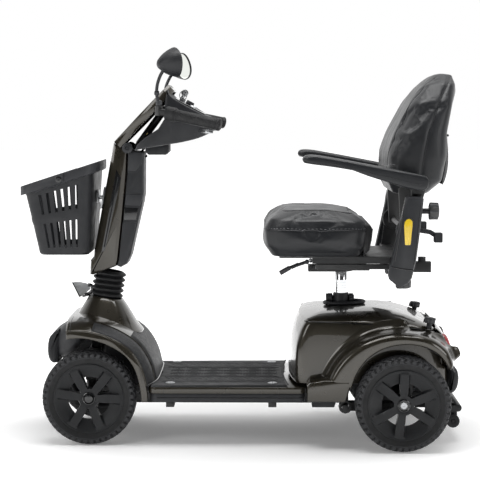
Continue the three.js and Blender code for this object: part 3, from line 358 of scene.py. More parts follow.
class Shape:
    """Points in millimetres and the faces between them, gathered before they become one mesh."""

    def __init__(self):
        self.points, self.faces = [], []

    def add(self, points, faces):
        first = len(self.points)
        self.points += [tuple(p) for p in points]
        self.faces += [[first + i for i in face] for face in faces]
        return self

    def sheet(self, rows, wrap_rows=False, wrap_columns=False):
        wide, tall = len(rows[0]), len(rows)
        faces = []
        for r in range(tall if wrap_rows else tall - 1):
            for c in range(wide if wrap_columns else wide - 1):
                below, right = (r + 1) % tall * wide, (c + 1) % wide
                faces.append([r * wide + c, r * wide + right, below + right, below + c])
        return self.add([p for row in rows for p in row], faces)

    def plate(self, front, back, is_open, wrap_columns=False):
        """Two matching sheets joined into one solid; cells that is_open(row, column) names are holes."""
        wide, tall = len(front[0]), len(front)
        columns = wide if wrap_columns else wide - 1
        far = wide * tall
        faces = []

        def solid(r, c):
            if wrap_columns:
                c %= wide
            return 0 <= r < tall - 1 and 0 <= c < columns and not is_open(r, c)

        for r in range(tall - 1):
            for c in range(columns):
                if not solid(r, c):
                    continue
                right = (c + 1) % wide
                a, b, d, e = r * wide + c, r * wide + right, (r + 1) * wide + right, (r + 1) * wide + c
                faces += [[a, b, d, e], [far + e, far + d, far + b, far + a]]
                for near, start, end in ((solid(r - 1, c), b, a), (solid(r, c + 1), d, b),
                                         (solid(r + 1, c), e, d), (solid(r, c - 1), a, e)):
                    if not near:
                        faces.append([start, end, far + end, far + start])
        return self.add([p for rows in (front, back) for row in rows for p in row], faces)

    def loft(self, rings, caps=True):
        first, count = len(self.points), len(rings[0])
        self.sheet(rings, wrap_columns=True)
        if caps:
            last = first + count * (len(rings) - 1)
            self.faces += [[first + i for i in range(count)][::-1], [last + i for i in range(count)]]
        return self

    def lathe(self, profile, origin, axis, segments=48, closed=False):
        along, across, up = frame_about(axis)
        rows = [[Vector(origin) + along * d + (across * cos(t) + up * sin(t)) * r for t in turns(segments)]
                for r, d in profile]
        return self.sheet(rows, wrap_rows=closed, wrap_columns=True)

    def prism(self, outline, y0, y1, rounding=0):
        """An XZ outline carried across Y; rounding pulls in its two end faces."""
        stations = [(y0, 0), (y1, 0)]
        if rounding:
            side = 1 if y1 > y0 else -1
            stations = [(y0, rounding), (y0 + side * rounding * 0.3, rounding * 0.3),
                        (y0 + side * rounding, 0),
                        (y1 - side * rounding, 0), (y1 - side * rounding * 0.3, rounding * 0.3),
                        (y1, rounding)]
        rings = [[(x, y, z) for x, z in inset_outline(outline, depth)] for y, depth in stations]
        return self.loft(rings)

    def box(self, x0, x1, y0, y1, z0, z1):
        return self.prism([(x0, z0), (x1, z0), (x1, z1), (x0, z1)], y0, y1)

    def tube(self, path, radius, sides=12):
        """A round tube along the path; radius is a number, or one for each point."""
        points = [Vector(p) for p in path]
        radii = radius if isinstance(radius, list) else [radius] * len(points)
        tangents = [(points[min(i + 1, len(points) - 1)] - points[max(i - 1, 0)]).normalized()
                    for i in range(len(points))]
        _, across, _ = frame_about(tangents[0])
        rings = []
        for point, tangent, size in zip(points, tangents, radii):
            across = (across - tangent * across.dot(tangent)).normalized()
            up = tangent.cross(across)
            rings.append([point + (across * cos(t) + up * sin(t)) * size for t in turns(sides)])
        return self.loft(rings)


def place(name, shape, body, finish, nodes=(), bevel=0.0, levels=0, thickness=0.0, sharp=38):
    """Turns a shape into a finished piece that rides on a body and may stand for CAD nodes."""
    mesh = bpy.data.meshes.new(name)
    mesh.from_pydata([tuple(c * MM for c in p) for p in shape.points], [], shape.faces)
    work = bmesh.new()
    work.from_mesh(mesh)
    bmesh.ops.remove_doubles(work, verts=work.verts, dist=2e-6)
    bmesh.ops.dissolve_degenerate(work, edges=work.edges, dist=1e-6)
    bmesh.ops.recalc_face_normals(work, faces=work.faces)
    work.to_mesh(mesh)
    work.free()
    piece = bpy.data.objects.new(name, mesh)
    bpy.context.scene.collection.objects.link(piece)
    return dress(piece, body, finish, nodes, bevel, levels, thickness, sharp)


def dress(piece, body, finish, nodes=(), bevel=0.0, levels=0, thickness=0.0, sharp=38):
    mesh = piece.data
    mesh.materials.clear()
    mesh.materials.append(FINISHES[finish].material)
    mesh.polygons.foreach_set("use_smooth", [True] * len(mesh.polygons))
    if thickness:
        solidify = piece.modifiers.new("thickness", "SOLIDIFY")
        solidify.thickness = thickness * MM
        solidify.offset = -1
    if bevel:
        add_bevel(piece, bevel)
    elif not levels:
        mesh.set_sharp_from_angle(angle=radians(sharp))
    if levels:
        piece.modifiers.new("smooth", "SUBSURF").levels = levels
        piece.modifiers["smooth"].render_levels = levels
    if body:
        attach(piece, body)
    if nodes:
        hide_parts(*nodes)
    return piece


def add_bevel(piece, width, angle=32, segments=3):
    modifier = piece.modifiers.new("bevel", "BEVEL")
    modifier.width = width * MM
    modifier.segments = segments
    modifier.limit_method = "ANGLE"
    modifier.angle_limit = radians(angle)
    modifier.harden_normals = True
    modifier.use_clamp_overlap = True


# ---- CAD nodes that stay --------------------------------------------------------------------
def dress_cad_nodes():
    """Every CAD node gets its finish, and a small bevel so that its edges catch the light."""
    for entry in frame["record"]["subparts"]:
        node = NODES[entry["node"]]
        node.data.materials.clear()
        node.data.materials.append(FINISHES[entry["material_slot"]].material)
        node.data.polygons.foreach_set("use_smooth", [True] * len(node.data.polygons))
        weld = node.modifiers.new("weld", "WELD")
        weld.merge_threshold = 1e-5
        add_bevel(node, 1.2, angle=40, segments=2)


dress_cad_nodes()


# ---- wheels ---------------------------------------------------------------------------------
WHEEL_RADIUS = 139.8
AXLE_Z = 140
FRONT_WHEEL = {"x": -452, "y": 190, "width": 75, "phase": 30}
REAR_WHEEL = {"x": 468, "y": 282, "width": 85, "phase": 0}
TREAD_PITCHES = 44


def wheel_point(wheel, side, radius, angle, across):
    """across runs from the inner sidewall (negative) to the outer one."""
    return (wheel["x"] + radius * cos(angle), side * (wheel["y"] + across), AXLE_Z + radius * sin(angle))


def wheel_rows(wheel, side, profile, count):
    """A lathe about the wheel's axle; the profile is (radius, distance across)."""
    return [[wheel_point(wheel, side, r, t, w) for t in turns(count)] for r, w in profile]


def crown_radius(share):
    """The carcass radius where share runs from 0 at mid tread to 1 at the sidewall."""
    return 133.5 - 9.5 * share ** 4


def make_tyre(name, wheel, side, body):
    half = wheel["width"] / 2
    profile = [(101, half - 9), (104, half - 5.5), (109, half - 3.2), (116, half - 0.8), (121, half - 0.4)]
    profile += [(crown_radius(s), half * s) for s in (0.97, 0.88, 0.7, 0.45, 0.2, 0)]
    profile += [(r, -w) for r, w in profile[-2::-1]]
    tyre = Shape().sheet(wheel_rows(wheel, side, profile, 96), wrap_rows=True, wrap_columns=True)
    bead = [(119.5, half - 0.6), (121, half), (122.5, half - 0.8)]
    for edge in (1, -1):
        tyre.sheet(wheel_rows(wheel, side, [(r, w * edge) for r, w in bead], 96), wrap_rows=True,
                   wrap_columns=True)
    pitch = 2 * pi / TREAD_PITCHES
    # Each row of blocks: its inner and outer edge as shares of the half width, its slant and its offset.
    for inner, outer, slant, offset in ((0.02, 0.34, 0.55, 0), (0.4, 0.72, -0.55, 0.5),
                                        (0.76, 1.0, 0.25, 0.05)):
        for edge in (1, -1):
            for k in range(TREAD_PITCHES):
                add_tread_block(tyre, wheel, side, (k + offset + 0.25 * edge) * pitch, pitch, inner, outer,
                                slant * edge, edge)
    place(name, tyre, body, "tyre_rubber", [name], sharp=30)


def add_tread_block(tyre, wheel, side, centre, pitch, inner, outer, slant, edge):
    half = wheel["width"] / 2
    rings = []
    for step in range(5):
        share = inner + (outer - inner) * step / 4
        middle = centre + slant * pitch * (step / 4 - 0.5)
        base = crown_radius(share) - 1.5
        top = min(WHEEL_RADIUS, crown_radius(share) + 6.0) - 3.0 * share ** 6
        across = edge * half * min(share, 0.985)
        lean = edge * (1.2 if share > 0.9 else 0)
        wide, narrow = 0.33 * pitch, 0.26 * pitch
        pull = 0.6 if step in (0, 4) else 0
        rings.append([wheel_point(wheel, side, base, middle - wide, across + lean),
                      wheel_point(wheel, side, top - pull, middle - narrow, across),
                      wheel_point(wheel, side, top - pull, middle + narrow, across),
                      wheel_point(wheel, side, base, middle + wide, across + lean)])
    tyre.loft(rings)
    if outer < 1:
        return
    # The shoulder blocks run a little way down the sidewall.
    rings = []
    for radius, stand in ((131.5, 0.0), (127, 0.7), (123.5, 0.5)):
        middle = centre + slant * pitch * 0.5
        sunk, proud = edge * (half * 0.985 + stand - 1.5), edge * (half * 0.985 + stand + 0.3)
        rings.append([wheel_point(wheel, side, radius, middle + turn * pitch, across)
                      for turn, across in ((-0.3, sunk), (-0.25, proud), (0.25, proud), (0.3, sunk))])
    tyre.loft(rings)


# A rim has six windows, wide and narrow ones in turn: (centre in degrees, half angles by radius).
WINDOW_WIDE = [(30, 12), (34, 16), (65, 23.5), (93, 26.5)]
WINDOW_NARROW = [(30, 5), (34, 7), (65, 14.5), (93, 19)]
RIM_ROWS = [12, 22, 29, 33, 40, 52, 63, 66, 78, 89, 92.5, 96, 99]
WINDOW_ROWS = (33, 63)


def make_rim(name, wheel, side, body):
    half = wheel["width"] / 2
    columns = []
    for k in range(6):
        here = WINDOW_WIDE if k % 2 else WINDOW_NARROW
        following = WINDOW_NARROW if k % 2 else WINDOW_WIDE
        for u in (-1, -0.86, -0.45, 0, 0.45, 0.86):
            columns.append((k, u, here, here, "window"))
        for u in (0, 0.12, 0.5, 0.88):
            columns.append((k, u, here, following, "spoke"))

    def angle_at(radius, column):
        k, u, here, following, kind = column
        centre = 115 + 60 * k + wheel["phase"]
        if kind == "window":
            return radians(centre + u * interpolate(here, radius))
        start = centre + interpolate(here, radius)
        end = centre + 60 - interpolate(following, radius)
        return radians(start + (end - start) * u)

    def depth_at(radius, column):
        _, u, _, _, kind = column
        if kind == "spoke" or abs(u) > 0.95 or radius < 33:
            return interpolate([(12, 3.0), (26, 0.0), (95, 0.0), (95.1, 1.2)], radius)
        if radius <= 66:
            return 15.0
        return interpolate([(66, 15), (92.5, 4.5), (96, 2), (99, 1.2)], radius)

    face = half - 4
    front = [[wheel_point(wheel, side, r, angle_at(r, c), face - depth_at(r, c)) for c in columns]
             for r in RIM_ROWS]
    back = [[wheel_point(wheel, side, r, angle_at(r, c), face - 21) for c in columns] for r in RIM_ROWS]

    def is_window(row, column):
        inside = WINDOW_ROWS[0] <= RIM_ROWS[row] < WINDOW_ROWS[1]
        return inside and columns[column][4] == "window"

    rim = Shape().plate(front, back, is_window, wrap_columns=True)
    outer, deep = half - 5.0, half - 9
    barrel = [(98, face - 2), (101.5, outer + 1.2), (104.2, outer), (104.2, outer - 5), (101.5, deep - 6),
              (101.5, 6 - deep), (104.2, 5 - outer), (104.2, -outer), (101.5, -outer - 1), (97.5, -outer),
              (96, 8 - deep), (96, deep - 8)]
    rim.sheet(wheel_rows(wheel, side, barrel, 72), wrap_rows=True, wrap_columns=True)
    hub = [(0.01, face - 24), (23, face - 24), (23, face - 34), (17, face - 38), (0.01, face - 38)]
    rim.sheet(wheel_rows(wheel, side, hub, 32), wrap_columns=True)
    place(name, rim, body, "wheel_alloy", [name], bevel=1.3)
    cap_profile = [(18.5, face - 14), (18.5, face + 1), (16.5, face + 2), (14.5, face + 0.5),
                   (14.5, face - 2)]
    if wheel is REAR_WHEEL:
        cap_profile += [(0.01, face - 2)]
    else:
        cap_profile += [(12.5, face - 1), (12, face + 3), (9, face + 3.6), (0.01, face + 3.8)]
    cap = Shape().sheet(wheel_rows(wheel, side, cap_profile, 40), wrap_columns=True)
    place(name.replace("rim", "hub_cap"), cap, body, "gloss_black")
    if wheel is REAR_WHEEL:
        bolt_profile = [(10, face - 2.5), (10, face + 2.2), (8.6, face + 3.4), (3.5, face + 3.4),
                        (3, face + 1.5), (0.01, face + 1.5)]
        bolt = Shape().sheet(wheel_rows(wheel, side, bolt_profile, 30), wrap_columns=True)
        place(name.replace("rim", "hub_bolt"), bolt, body, "zinc_steel")


for label, side in SIDES:
    for end, wheel in (("front", FRONT_WHEEL), ("rear", REAR_WHEEL)):
        make_tyre(f"{end}_tyre_{label}", wheel, side, f"{end}_wheel_{label}")
        make_rim(f"{end}_rim_{label}", wheel, side, f"{end}_wheel_{label}")

# ---- front cover ----------------------------------------------------------------------------
FENDER_HALF = 228
FENDER_ARC = spline([(-518, 338), (-480, 341), (-444, 337), (-400, 324), (-360, 304), (-330, 282),
                     (-308, 254), (-293, 222), (-284, 186), (-279, 155), (-278, 131)], 5)
DECK_TOP = 183.5


def outward_normals(curve):
    normals = []
    for i in range(len(curve)):
        ahead = Vector(curve[min(i + 1, len(curve) - 1)]) - Vector(curve[max(i - 1, 0)])
        normals.append(Vector((-ahead.y, ahead.x)).normalized())
    return normals


FENDER_NORMALS = outward_normals(FENDER_ARC)


def fender_point(index, y, stand=0.0):
    """A point of the front cover's skin, which is crowned across Y; stand lifts it off the skin."""
    crown = 30 * (1 - (abs(y) / FENDER_HALF) ** 5) + stand
    (x, z), normal = FENDER_ARC[index], FENDER_NORMALS[index]
    return (x + normal.x * crown, y, max(z + normal.y * crown, DECK_TOP - 4))


def fender_rows(stations, first, last, stand=0.0):
    return [[fender_point(i, y, stand) for i in range(first, last + 1)] for y in stations]


SKIN_END = next(i for i, (x, z) in enumerate(FENDER_ARC) if z < 183)


def make_front_cover():
    stations = [-227, -223, -216, -205, -190, -170, -145, -110, -70, -30, 30, 70, 110, 145, 170, 190, 205,
                216, 223, 227]
    skin = Shape().sheet(fender_rows(stations, 0, SKIN_END))
    place("front_cover_skin", skin, "chassis", "olive_gloss", ["front_cover"], thickness=3.0, sharp=60)

    liner_rows = fender_rows([-206, -150, -60, 60, 150, 206], 0, SKIN_END, -14)
    place("front_arch_liner", Shape().sheet(liner_rows), "chassis", "black_plastic", thickness=2.5)

    inner = []
    for i, ((x, z), normal) in enumerate(zip(FENDER_ARC, FENDER_NORMALS)):
        width = 22 - 4 * i / len(FENDER_ARC)
        inner.append((x - normal.x * width, z - normal.y * width))
    lips = Shape()
    for _, side in SIDES:
        lips.prism(FENDER_ARC + inner[::-1], side * 206, side * FENDER_HALF, rounding=2.5)
    place("front_fender_lips", lips, "chassis", "olive_gloss", sharp=50)

    start = next(i for i, (x, z) in enumerate(FENDER_ARC) if x > -446)
    behind_tower = next(i for i, (x, z) in enumerate(FENDER_ARC) if x > -352)
    inlays = Shape()
    for _, side in SIDES:
        inlays.sheet(fender_rows([side * y for y in (223, 216, 205, 190, 174)], start, SKIN_END, 0.9))
    inlays.sheet(fender_rows([-162, -130, -90, -45, 0, 45, 90, 130, 162], behind_tower, SKIN_END, 0.9))
    place("front_cover_inlays", inlays, "chassis", "carbon_inlay", thickness=1.5, sharp=60)

    beads = Shape()
    for _, side in SIDES:
        beads.tube([fender_point(i, side * 168, 0.6) for i in range(start + 2, SKIN_END + 1)], 1.7, 8)
    place("front_cover_crease_lines", beads, "chassis", "olive_gloss")
    edge = [fender_point(SKIN_END, y, 2.0) for y in range(-224, 225, 16)]
    place("front_cover_edge_trim", Shape().tube(edge, 2.6, 10), "chassis", "gloss_black")
    groove = Shape()
    for _, side in SIDES:
        groove.tube([fender_point(2, side * y, 0.1) for y in (227, 223, 216, 205, 190, 170, 145, 110)],
                    0.9, 8)
    place("front_cover_panel_lines", groove, "chassis", "gloss_black")


def oval_ring(front, rear, half, front_z, rear_z, power=0.82, count=48):
    """A rounded ring in plan whose height changes evenly from front to rear."""
    centre, reach = (front + rear) / 2, (rear - front) / 2
    points = []
    for turn in turns(count):
        share, width = signed_power(cos(turn), power), signed_power(sin(turn), power)
        points.append((centre + reach * share, half * width,
                       front_z + (rear_z - front_z) * (share + 1) / 2))
    return points


def make_tower():
    rings = [
        oval_ring(-519, -308, 112, 334, 309), oval_ring(-522, -304, 114, 338, 313),
        oval_ring(-521, -309, 111, 342, 318),
        oval_ring(-519, -318, 104, 348, 329), oval_ring(-515, -327, 97, 356, 342),
        oval_ring(-507, -336, 89, 366, 358),
        oval_ring(-493, -349, 75, 388, 380), oval_ring(-477, -362, 60, 414, 400),
        oval_ring(-471, -367, 54, 424, 407),
        oval_ring(-467, -370, 50, 427, 410), oval_ring(-464, -372, 47, 426, 409),
        oval_ring(-462, -374, 45, 418, 401),
    ]
    place("front_tower", Shape().loft(rings, caps=False), "chassis", "olive_gloss", levels=1, thickness=2.5)


def make_nose():
    def ring(x, half, low, high):
        middle, tall = (low + high) / 2, (high - low) / 2
        return [(x, half * signed_power(cos(a), 0.5), middle + tall * signed_power(sin(a), 0.6))
                for a in turns(40)]

    nose = Shape().loft([ring(-470, 150, 300, 352), ring(-500, 146, 262, 355), ring(-522, 132, 245, 350),
                         ring(-540, 112, 238, 341), ring(-556, 92, 236, 328), ring(-563, 80, 240, 318)])
    place("front_nose", nose, "chassis", "black_plastic", levels=1)
    outline = spline([(-556, 326), (-572, 316), (-586, 300), (-591, 276), (-591, 250), (-585, 230),
                      (-574, 222)], 3)
    bumper = Shape().prism(outline + [(-558, 224), (-552, 300)], -84, 84, rounding=9)
    place("front_bumper_cap", bumper, "chassis", "black_plastic", ["front_bumper"], sharp=45)
    ribs = Shape()
    for z in (246, 262, 278):
        ribs.tube([(-591.6, -60, z), (-592.2, 0, z), (-591.6, 60, z)], 1.6, 8)
    place("front_bumper_ribs", ribs, "chassis", "gloss_black")


def make_headlight():
    """A silver three-sided reflector on a hooked black mount."""
    def rounded_triangle(x, z, size, lean):
        points = []
        for turn in turns(36):
            reach = size * (1 + 0.16 * cos(3 * turn))
            points.append((x - sin(turn) * reach * lean, cos(turn + pi / 2) * reach * 1.05,
                           z + sin(turn) * reach))
        return points

    shell = Shape().loft([
        rounded_triangle(-470, 446, 7, 0.1), rounded_triangle(-478, 446, 12, 0.15),
        rounded_triangle(-492, 443, 19, 0.22),
        rounded_triangle(-506, 439, 23.5, 0.28), rounded_triangle(-512, 437, 24, 0.3),
        rounded_triangle(-513.5, 437, 22, 0.3),
        rounded_triangle(-509, 438, 19, 0.28), rounded_triangle(-496, 441, 9, 0.2)])
    place("headlight_reflector", shell, "chassis", "clear_lens", ["headlight"], sharp=60)
    edge = rounded_triangle(-513, 437, 23.4, 0.3)
    place("headlight_bezel", Shape().tube(edge + edge[:1], 1.7, 8), "chassis", "gloss_black")
    mount = Shape().tube(spline([(-486, 0, 421), (-470, 0, 427), (-462, 0, 438), (-466, 0, 450),
                                 (-476, 0, 452)], 5), 5.5, 12)
    mount.loft([oval_ring(-494, -470, 12, 414, 420, count=24),
                oval_ring(-494, -470, 12, 420, 426, count=24)])
    place("headlight_mount", mount, "chassis", "gloss_black", bevel=0.8)


make_front_cover()
make_tower()
make_nose()
make_headlight()


# ---- rear cover -----------------------------------------------------------------------------
REAR_AXLE_X = 468
HOOD_LEVELS = [  # z, front x at the centre, rear x, half width
    (184, 141, 606, 219), (205, 140, 607, 219), (240, 139.5, 606, 218), (277, 140, 603, 217.5),
    (310, 145, 597, 216.5),
    (335, 153, 590, 215), (350, 160, 583, 213.5), (360, 166, 577, 211.5), (366, 170, 572, 209),
]


def hood_outline(front, rear, half):
    """Plan outline of the hood: a bowed front, tight rounded corners and a squarer tail."""
    bow, corner, tail = 22, 26, 60
    points = []
    for k in range(9):
        y = -half + corner + (2 * half - 2 * corner) * k / 8
        points.append((front + bow * (abs(y) / half) ** 2.2, y))
    corner_x = front + bow * ((half - corner) / half) ** 2.2
    path = [(corner_x + corner * (1 - cos(a)), half - corner + corner * sin(a))
            for a in map(radians, (22, 44, 66, 88))]
    path += [(x, half) for x in (230, 280, 330, 380, 430, 480, 520)]
    path += [(rear - tail + tail * sin(a), half - tail * 0.55 * (1 - cos(a)))
             for a in map(radians, (18, 36, 54, 72, 90))]
    return points + path + [(rear, half * share) for share in (0.6, 0.3, 0, -0.3, -0.6)] + mirrored(path)


# Heights of the hood along X, at its middle and at its side edges.
CROWN_LINE = [(139, 378), (180, 388), (230, 392), (300, 396), (400, 399), (450, 397), (500, 389),
              (545, 375), (585, 352), (610, 330)]
SHOULDER_LINE = [(139, 366), (190, 369), (260, 367), (350, 363), (430, 356), (490, 349), (530, 345),
                 (560, 345), (590, 335), (610, 300)]


HOOD_PEAK_X = 300
HOOD_BASE_Z, HOOD_TOP_Z = 184, 366
# How the top closes towards its peak: (share of the plan outline, share of the climb to the crown line).
HOOD_CLIMB = [(1.0, 0.0), (0.985, 0.13), (0.96, 0.25), (0.9, 0.43), (0.8, 0.63), (0.65, 0.81), (0.45, 0.93),
              (0.22, 0.99), (0.03, 1.0)]


def hood_rows():
    """Rings up the hood's walls, then over its top; the walls follow the falling shoulder line."""
    rows = [[(x, y, z) for x, y in hood_outline(front, rear, half)] for z, front, rear,
            half in HOOD_LEVELS[:-1]]
    for share, climb in HOOD_CLIMB:
        row = []
        for x, y in hood_outline(*HOOD_LEVELS[-1][1:]):
            px = HOOD_PEAK_X + (x - HOOD_PEAK_X) * (share if share < 0.96 else (share + 1) / 2)
            low, high = interpolate(SHOULDER_LINE, px), interpolate(CROWN_LINE, px)
            row.append((px, y * share, low + (high - low) * climb))
        rows.append(row)
    for index, (level, *_) in enumerate(HOOD_LEVELS[:-1]):
        climb = (level - HOOD_BASE_Z) / (HOOD_TOP_Z - HOOD_BASE_Z)
        rows[index] = [(x, y, HOOD_BASE_Z + climb * (interpolate(SHOULDER_LINE, x) - HOOD_BASE_Z))
                       for x, y, _ in rows[index]]
    return rows


def make_hood():
    rows = hood_rows()
    place("rear_cover_hood", Shape().sheet(rows, wrap_columns=True), "chassis", "olive_gloss",
          ["rear_cover"], levels=1, thickness=3.0)
    sides = Shape()
    for _, side in SIDES:
        path = sorted((p for p in rows[len(HOOD_LEVELS) - 2] if p[1] * side > 190 and p[0] < 560),
                      key=lambda p: p[0])
        sides.tube([(x, y + side * 1.2, z + 6) for x, y, z in path], 1.5, 8)
    place("rear_cover_seams", sides, "chassis", "gloss_black")


# The flare over each rear wheel, in polar form about the axle: (angle, outer radius, inner radius).
FLARE_OUTER = [(36, 186), (49, 204), (65, 209), (84, 204), (100, 206), (115, 210), (128, 215), (140, 220),
               (152, 224), (164, 228)]
FLARE_INNER = [(36, 165), (54, 175), (69, 175), (94, 170), (110, 168), (126, 165), (142, 160), (158, 155),
               (164, 155)]
FLARE_HALF = 290


def make_flares():
    flares = Shape()
    for _, side in SIDES:
        rows = []
        for k in range(41):
            angle = 164 - 128 * k / 40
            outer, inner = interpolate(FLARE_OUTER, angle), interpolate(FLARE_INNER, angle)
            section = [(212, outer + 34), (216, outer + 20), (223, outer + 10), (234, outer + 4),
                       (250, outer + 1), (266, outer - 1),
                       (279, outer - 4), (287, outer - 10), (FLARE_HALF, outer - 18),
                       (FLARE_HALF, (outer + inner) / 2),
                       (FLARE_HALF, inner + 5), (288.5, inner + 1.5), (285, inner), (270, inner + 1)]
            turn = radians(angle)
            row = []
            for y, r in section:
                x, z = REAR_AXLE_X + r * cos(turn), AXLE_Z + r * sin(turn)
                if y < 240 and x > 480:
                    z = min(z, interpolate(SHOULDER_LINE, x) - 3)
                row.append((x, side * y, z))
            rows.append(row)
        flares.sheet(rows)
    place("rear_flares", flares, "chassis", "olive_gloss", levels=1, thickness=3.0)
    liner = Shape()
    for _, side in SIDES:
        rows = []
        for k in range(25):
            turn = radians(170 - 140 * k / 24)
            rows.append([(REAR_AXLE_X + r * cos(turn), side * y, AXLE_Z + r * sin(turn))
                         for y, r in ((214, 176), (240, 178), (278, 176))])
        liner.sheet(rows)
    place("rear_arch_liner", liner, "chassis", "black_plastic", thickness=2.0)


def make_skirts():
    outline = [(190, 146), (194, 143), (300, 143), (305, 150), (318, 196), (316, 206), (240, 208),
               (200, 200), (190, 190)]
    skirts, boxes = Shape(), Shape()
    for _, side in SIDES:
        skirts.prism(outline, side * 205, side * FLARE_HALF, rounding=6)
        boxes.prism([(206, 118), (271, 118), (276, 132), (271, 143), (206, 143)], side * 190, side * 236,
                    rounding=2)
    place("rear_skirts", skirts, "chassis", "olive_gloss", bevel=2.0)
    place("rear_under_boxes", boxes, "chassis", "black_plastic", bevel=1.2)


def make_tail():
    rows = []
    for y in (-212, -204, -180, -120, -60, 0, 60, 120, 180, 204, 212):
        pull = 10 * (abs(y) / 212) ** 6
        rows.append([(x - pull, y, z) for x, z in ((576, 352), (590, 342), (601, 326), (610, 300),
                                                   (616, 270), (618, 240), (616, 226))])
    place("rear_tail_panel", Shape().sheet(rows), "chassis", "olive_gloss", levels=1, thickness=3.0)
    outline = spline([(611, 226), (632, 226), (639, 214), (641, 192), (636, 168), (624, 154), (611, 153)],
                     3)
    bumper = Shape().prism(outline, -196, 196, rounding=10)
    place("rear_bumper_bar", bumper, "chassis", "black_plastic", ["rear_bumper"], sharp=45)
    for label, side in SIDES:
        rings = []
        for depth, share in ((0, 1.0), (6, 1.0), (12, 0.93), (16, 0.8), (18, 0.5), (18.6, 0.05)):
            ring = []
            for turn in turns(32):
                up, across = sin(turn) * 31 * share, cos(turn) * 30 * share
                ring.append((596 - 0.34 * up + depth * 0.9, side * 192 + across, 300 + up + depth * 0.2))
            rings.append(ring)
        place(f"tail_lens_{label}", Shape().loft(rings), "chassis", "red_lens", [f"tail_light_{label}"],
              sharp=60)
        rim_path = [(596 - 0.34 * 32 * sin(a), side * 192 + 31 * cos(a), 300 + 32 * sin(a))
                    for a in turns(32, 1)]
        place(f"tail_lens_rim_{label}", Shape().tube(rim_path, 2.4, 8), "chassis", "gloss_black")


def make_hood_details():
    ring_path = [(311 + 60 * cos(a), 40 * sin(a), 401 + 0.03 * 60 * cos(a)) for a in turns(48, 1)]
    place("post_trim_ring", Shape().tube(ring_path, 5.5, 12), "chassis", "black_plastic")
    knobs = Shape()
    for y, x in ((-196, 551), (175, 543)):
        z = interpolate(SHOULDER_LINE, x) + 7
        knobs.lathe([(0.01, -4), (8, -4), (8, 10), (15, 11), (16.5, 14), (16.5, 24), (14, 28),
                     (0.01, 28.5)], (x, y, z), (0.12, 0, 1), 28)
        for turn in turns(10):
            near, across = x + 16.3 * cos(turn), y + 16.3 * sin(turn)
            knobs.tube([(near, across, z + 13), (near + 3, across, z + 25)], 1.6, 6)
    place("rear_cover_knobs", knobs, "chassis", "black_plastic")


make_hood()
make_flares()
make_skirts()
make_tail()
make_hood_details()


# ---- floor ----------------------------------------------------------------------------------
MAT_Z = 181.8


def make_floor():
    def mat_ring(z, grow=0.0):
        front = [(-268 - grow + 20 * (1 - (y / 227) ** 2), y) for y in range(-227, 228, 21)]
        rear = [(134 + grow - 13 * (1 - (y / 227) ** 2), y) for y in range(227, -228, -21)]
        return [(x, y, z) for x, y in front + rear]

    mat = Shape().loft([mat_ring(175.6), mat_ring(179.6), mat_ring(MAT_Z, -1.2)])
    # Nested rectangles down the middle, then chevrons and a line on either side.
    for x, long_side in ((-200, 45), (-150, 60), (-90, 60), (-30, 60), (30, 60), (80, 45)):
        for y in (-52, 0, 52):
            for inner in (0, 9, 18):
                a, b = long_side / 2 - inner, 22 - inner * 0.75
                for across in (y - b, y + b):
                    mat.tube([(x - a, across, MAT_Z), (x + a, across, MAT_Z)], 1.5, 6)
                for along in (x - a, x + a):
                    mat.tube([(along, y - b, MAT_Z), (along, y + b, MAT_Z)], 1.5, 6)
    for _, side in SIDES:
        for k in range(24):
            x = -232 + 14 * k
            mat.tube([(x, side * 92, MAT_Z), (x + 16, side * 128, MAT_Z), (x, side * 164, MAT_Z)], 1.7, 6)
        mat.tube([(-236, side * 86, MAT_Z), (112, side * 86, MAT_Z)], 1.6, 6)
        mat.tube([(-240, side * 170, MAT_Z), (116, side * 170, MAT_Z)], 1.6, 6)
    mat.tube([(136 - 13 * (1 - (y / 227) ** 2), y, MAT_Z + 1) for y in range(-221, 222, 17)], 2.6, 8)
    place("floor_mat_relief", mat, "chassis", "mat_rubber", ["floor_mat"], sharp=45)
    bolts = Shape()
    for x in (-213, 90):
        for y in (-190, 190):
            bolts.lathe([(14, -1), (14, 1.4), (12, 2.2), (9.5, 1.4), (9, 2.6), (4.4, 2.8), (4, 1.2),
                         (0.01, 1.2)], (x, y, MAT_Z), (0, 0, 1), 28)
    place("deck_bolts", bolts, "chassis", "zinc_steel")
    joints = Shape()
    for _, side in SIDES:
        for x in (-231, 186):
            joints.tube([(x, side * 229.6, 157.5), (x, side * 229.6, 174.5)], 0.8, 6)
        joints.tube([(-250, side * 226, 143), (180, side * 226, 143)], 1.6, 8)
    place("deck_joint_lines", joints, "chassis", "gloss_black")


make_floor()

# ---- steering head: bellows, tiller, dash ---------------------------------------------------
LEAN = radians(9)


def on_steer_axis(distance):
    return (-412 + distance * sin(LEAN), 0, 460 + distance * cos(LEAN))


def make_bellows():
    pleats, low, high = 5, -44, 38
    profile = []
    steps = pleats * 8
    for k in range(steps + 1):
        ripple = abs(sin(pi * pleats * k / steps)) ** 1.2
        profile.append((40 + 9.5 * ripple, low + (high - low) * k / steps))
    profile += [(36, high), (34, low)]
    gaiter = Shape().lathe(profile, on_steer_axis(0), (sin(LEAN), 0, cos(LEAN)), 56, closed=True)
    piece = place("rubber_gaiter", gaiter, None, "soft_rubber", ["bellows"], sharp=70)
    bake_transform(piece)


TILLER_FRONT = [(-389, 888), (-400, 830), (-420, 724), (-453, 544), (-462, 533), (-464, 490), (-455, 489),
                (-424, 500), (-383, 516),
                (-378, 536), (-365, 651), (-351, 795), (-348, 872)]
TILLER_REAR = [(-347, 868), (-350, 795), (-364, 651), (-377, 536), (-382, 517), (-370, 512), (-350, 523),
               (-341, 545), (-314, 665),
               (-301, 722), (-299, 732), (-298, 861)]
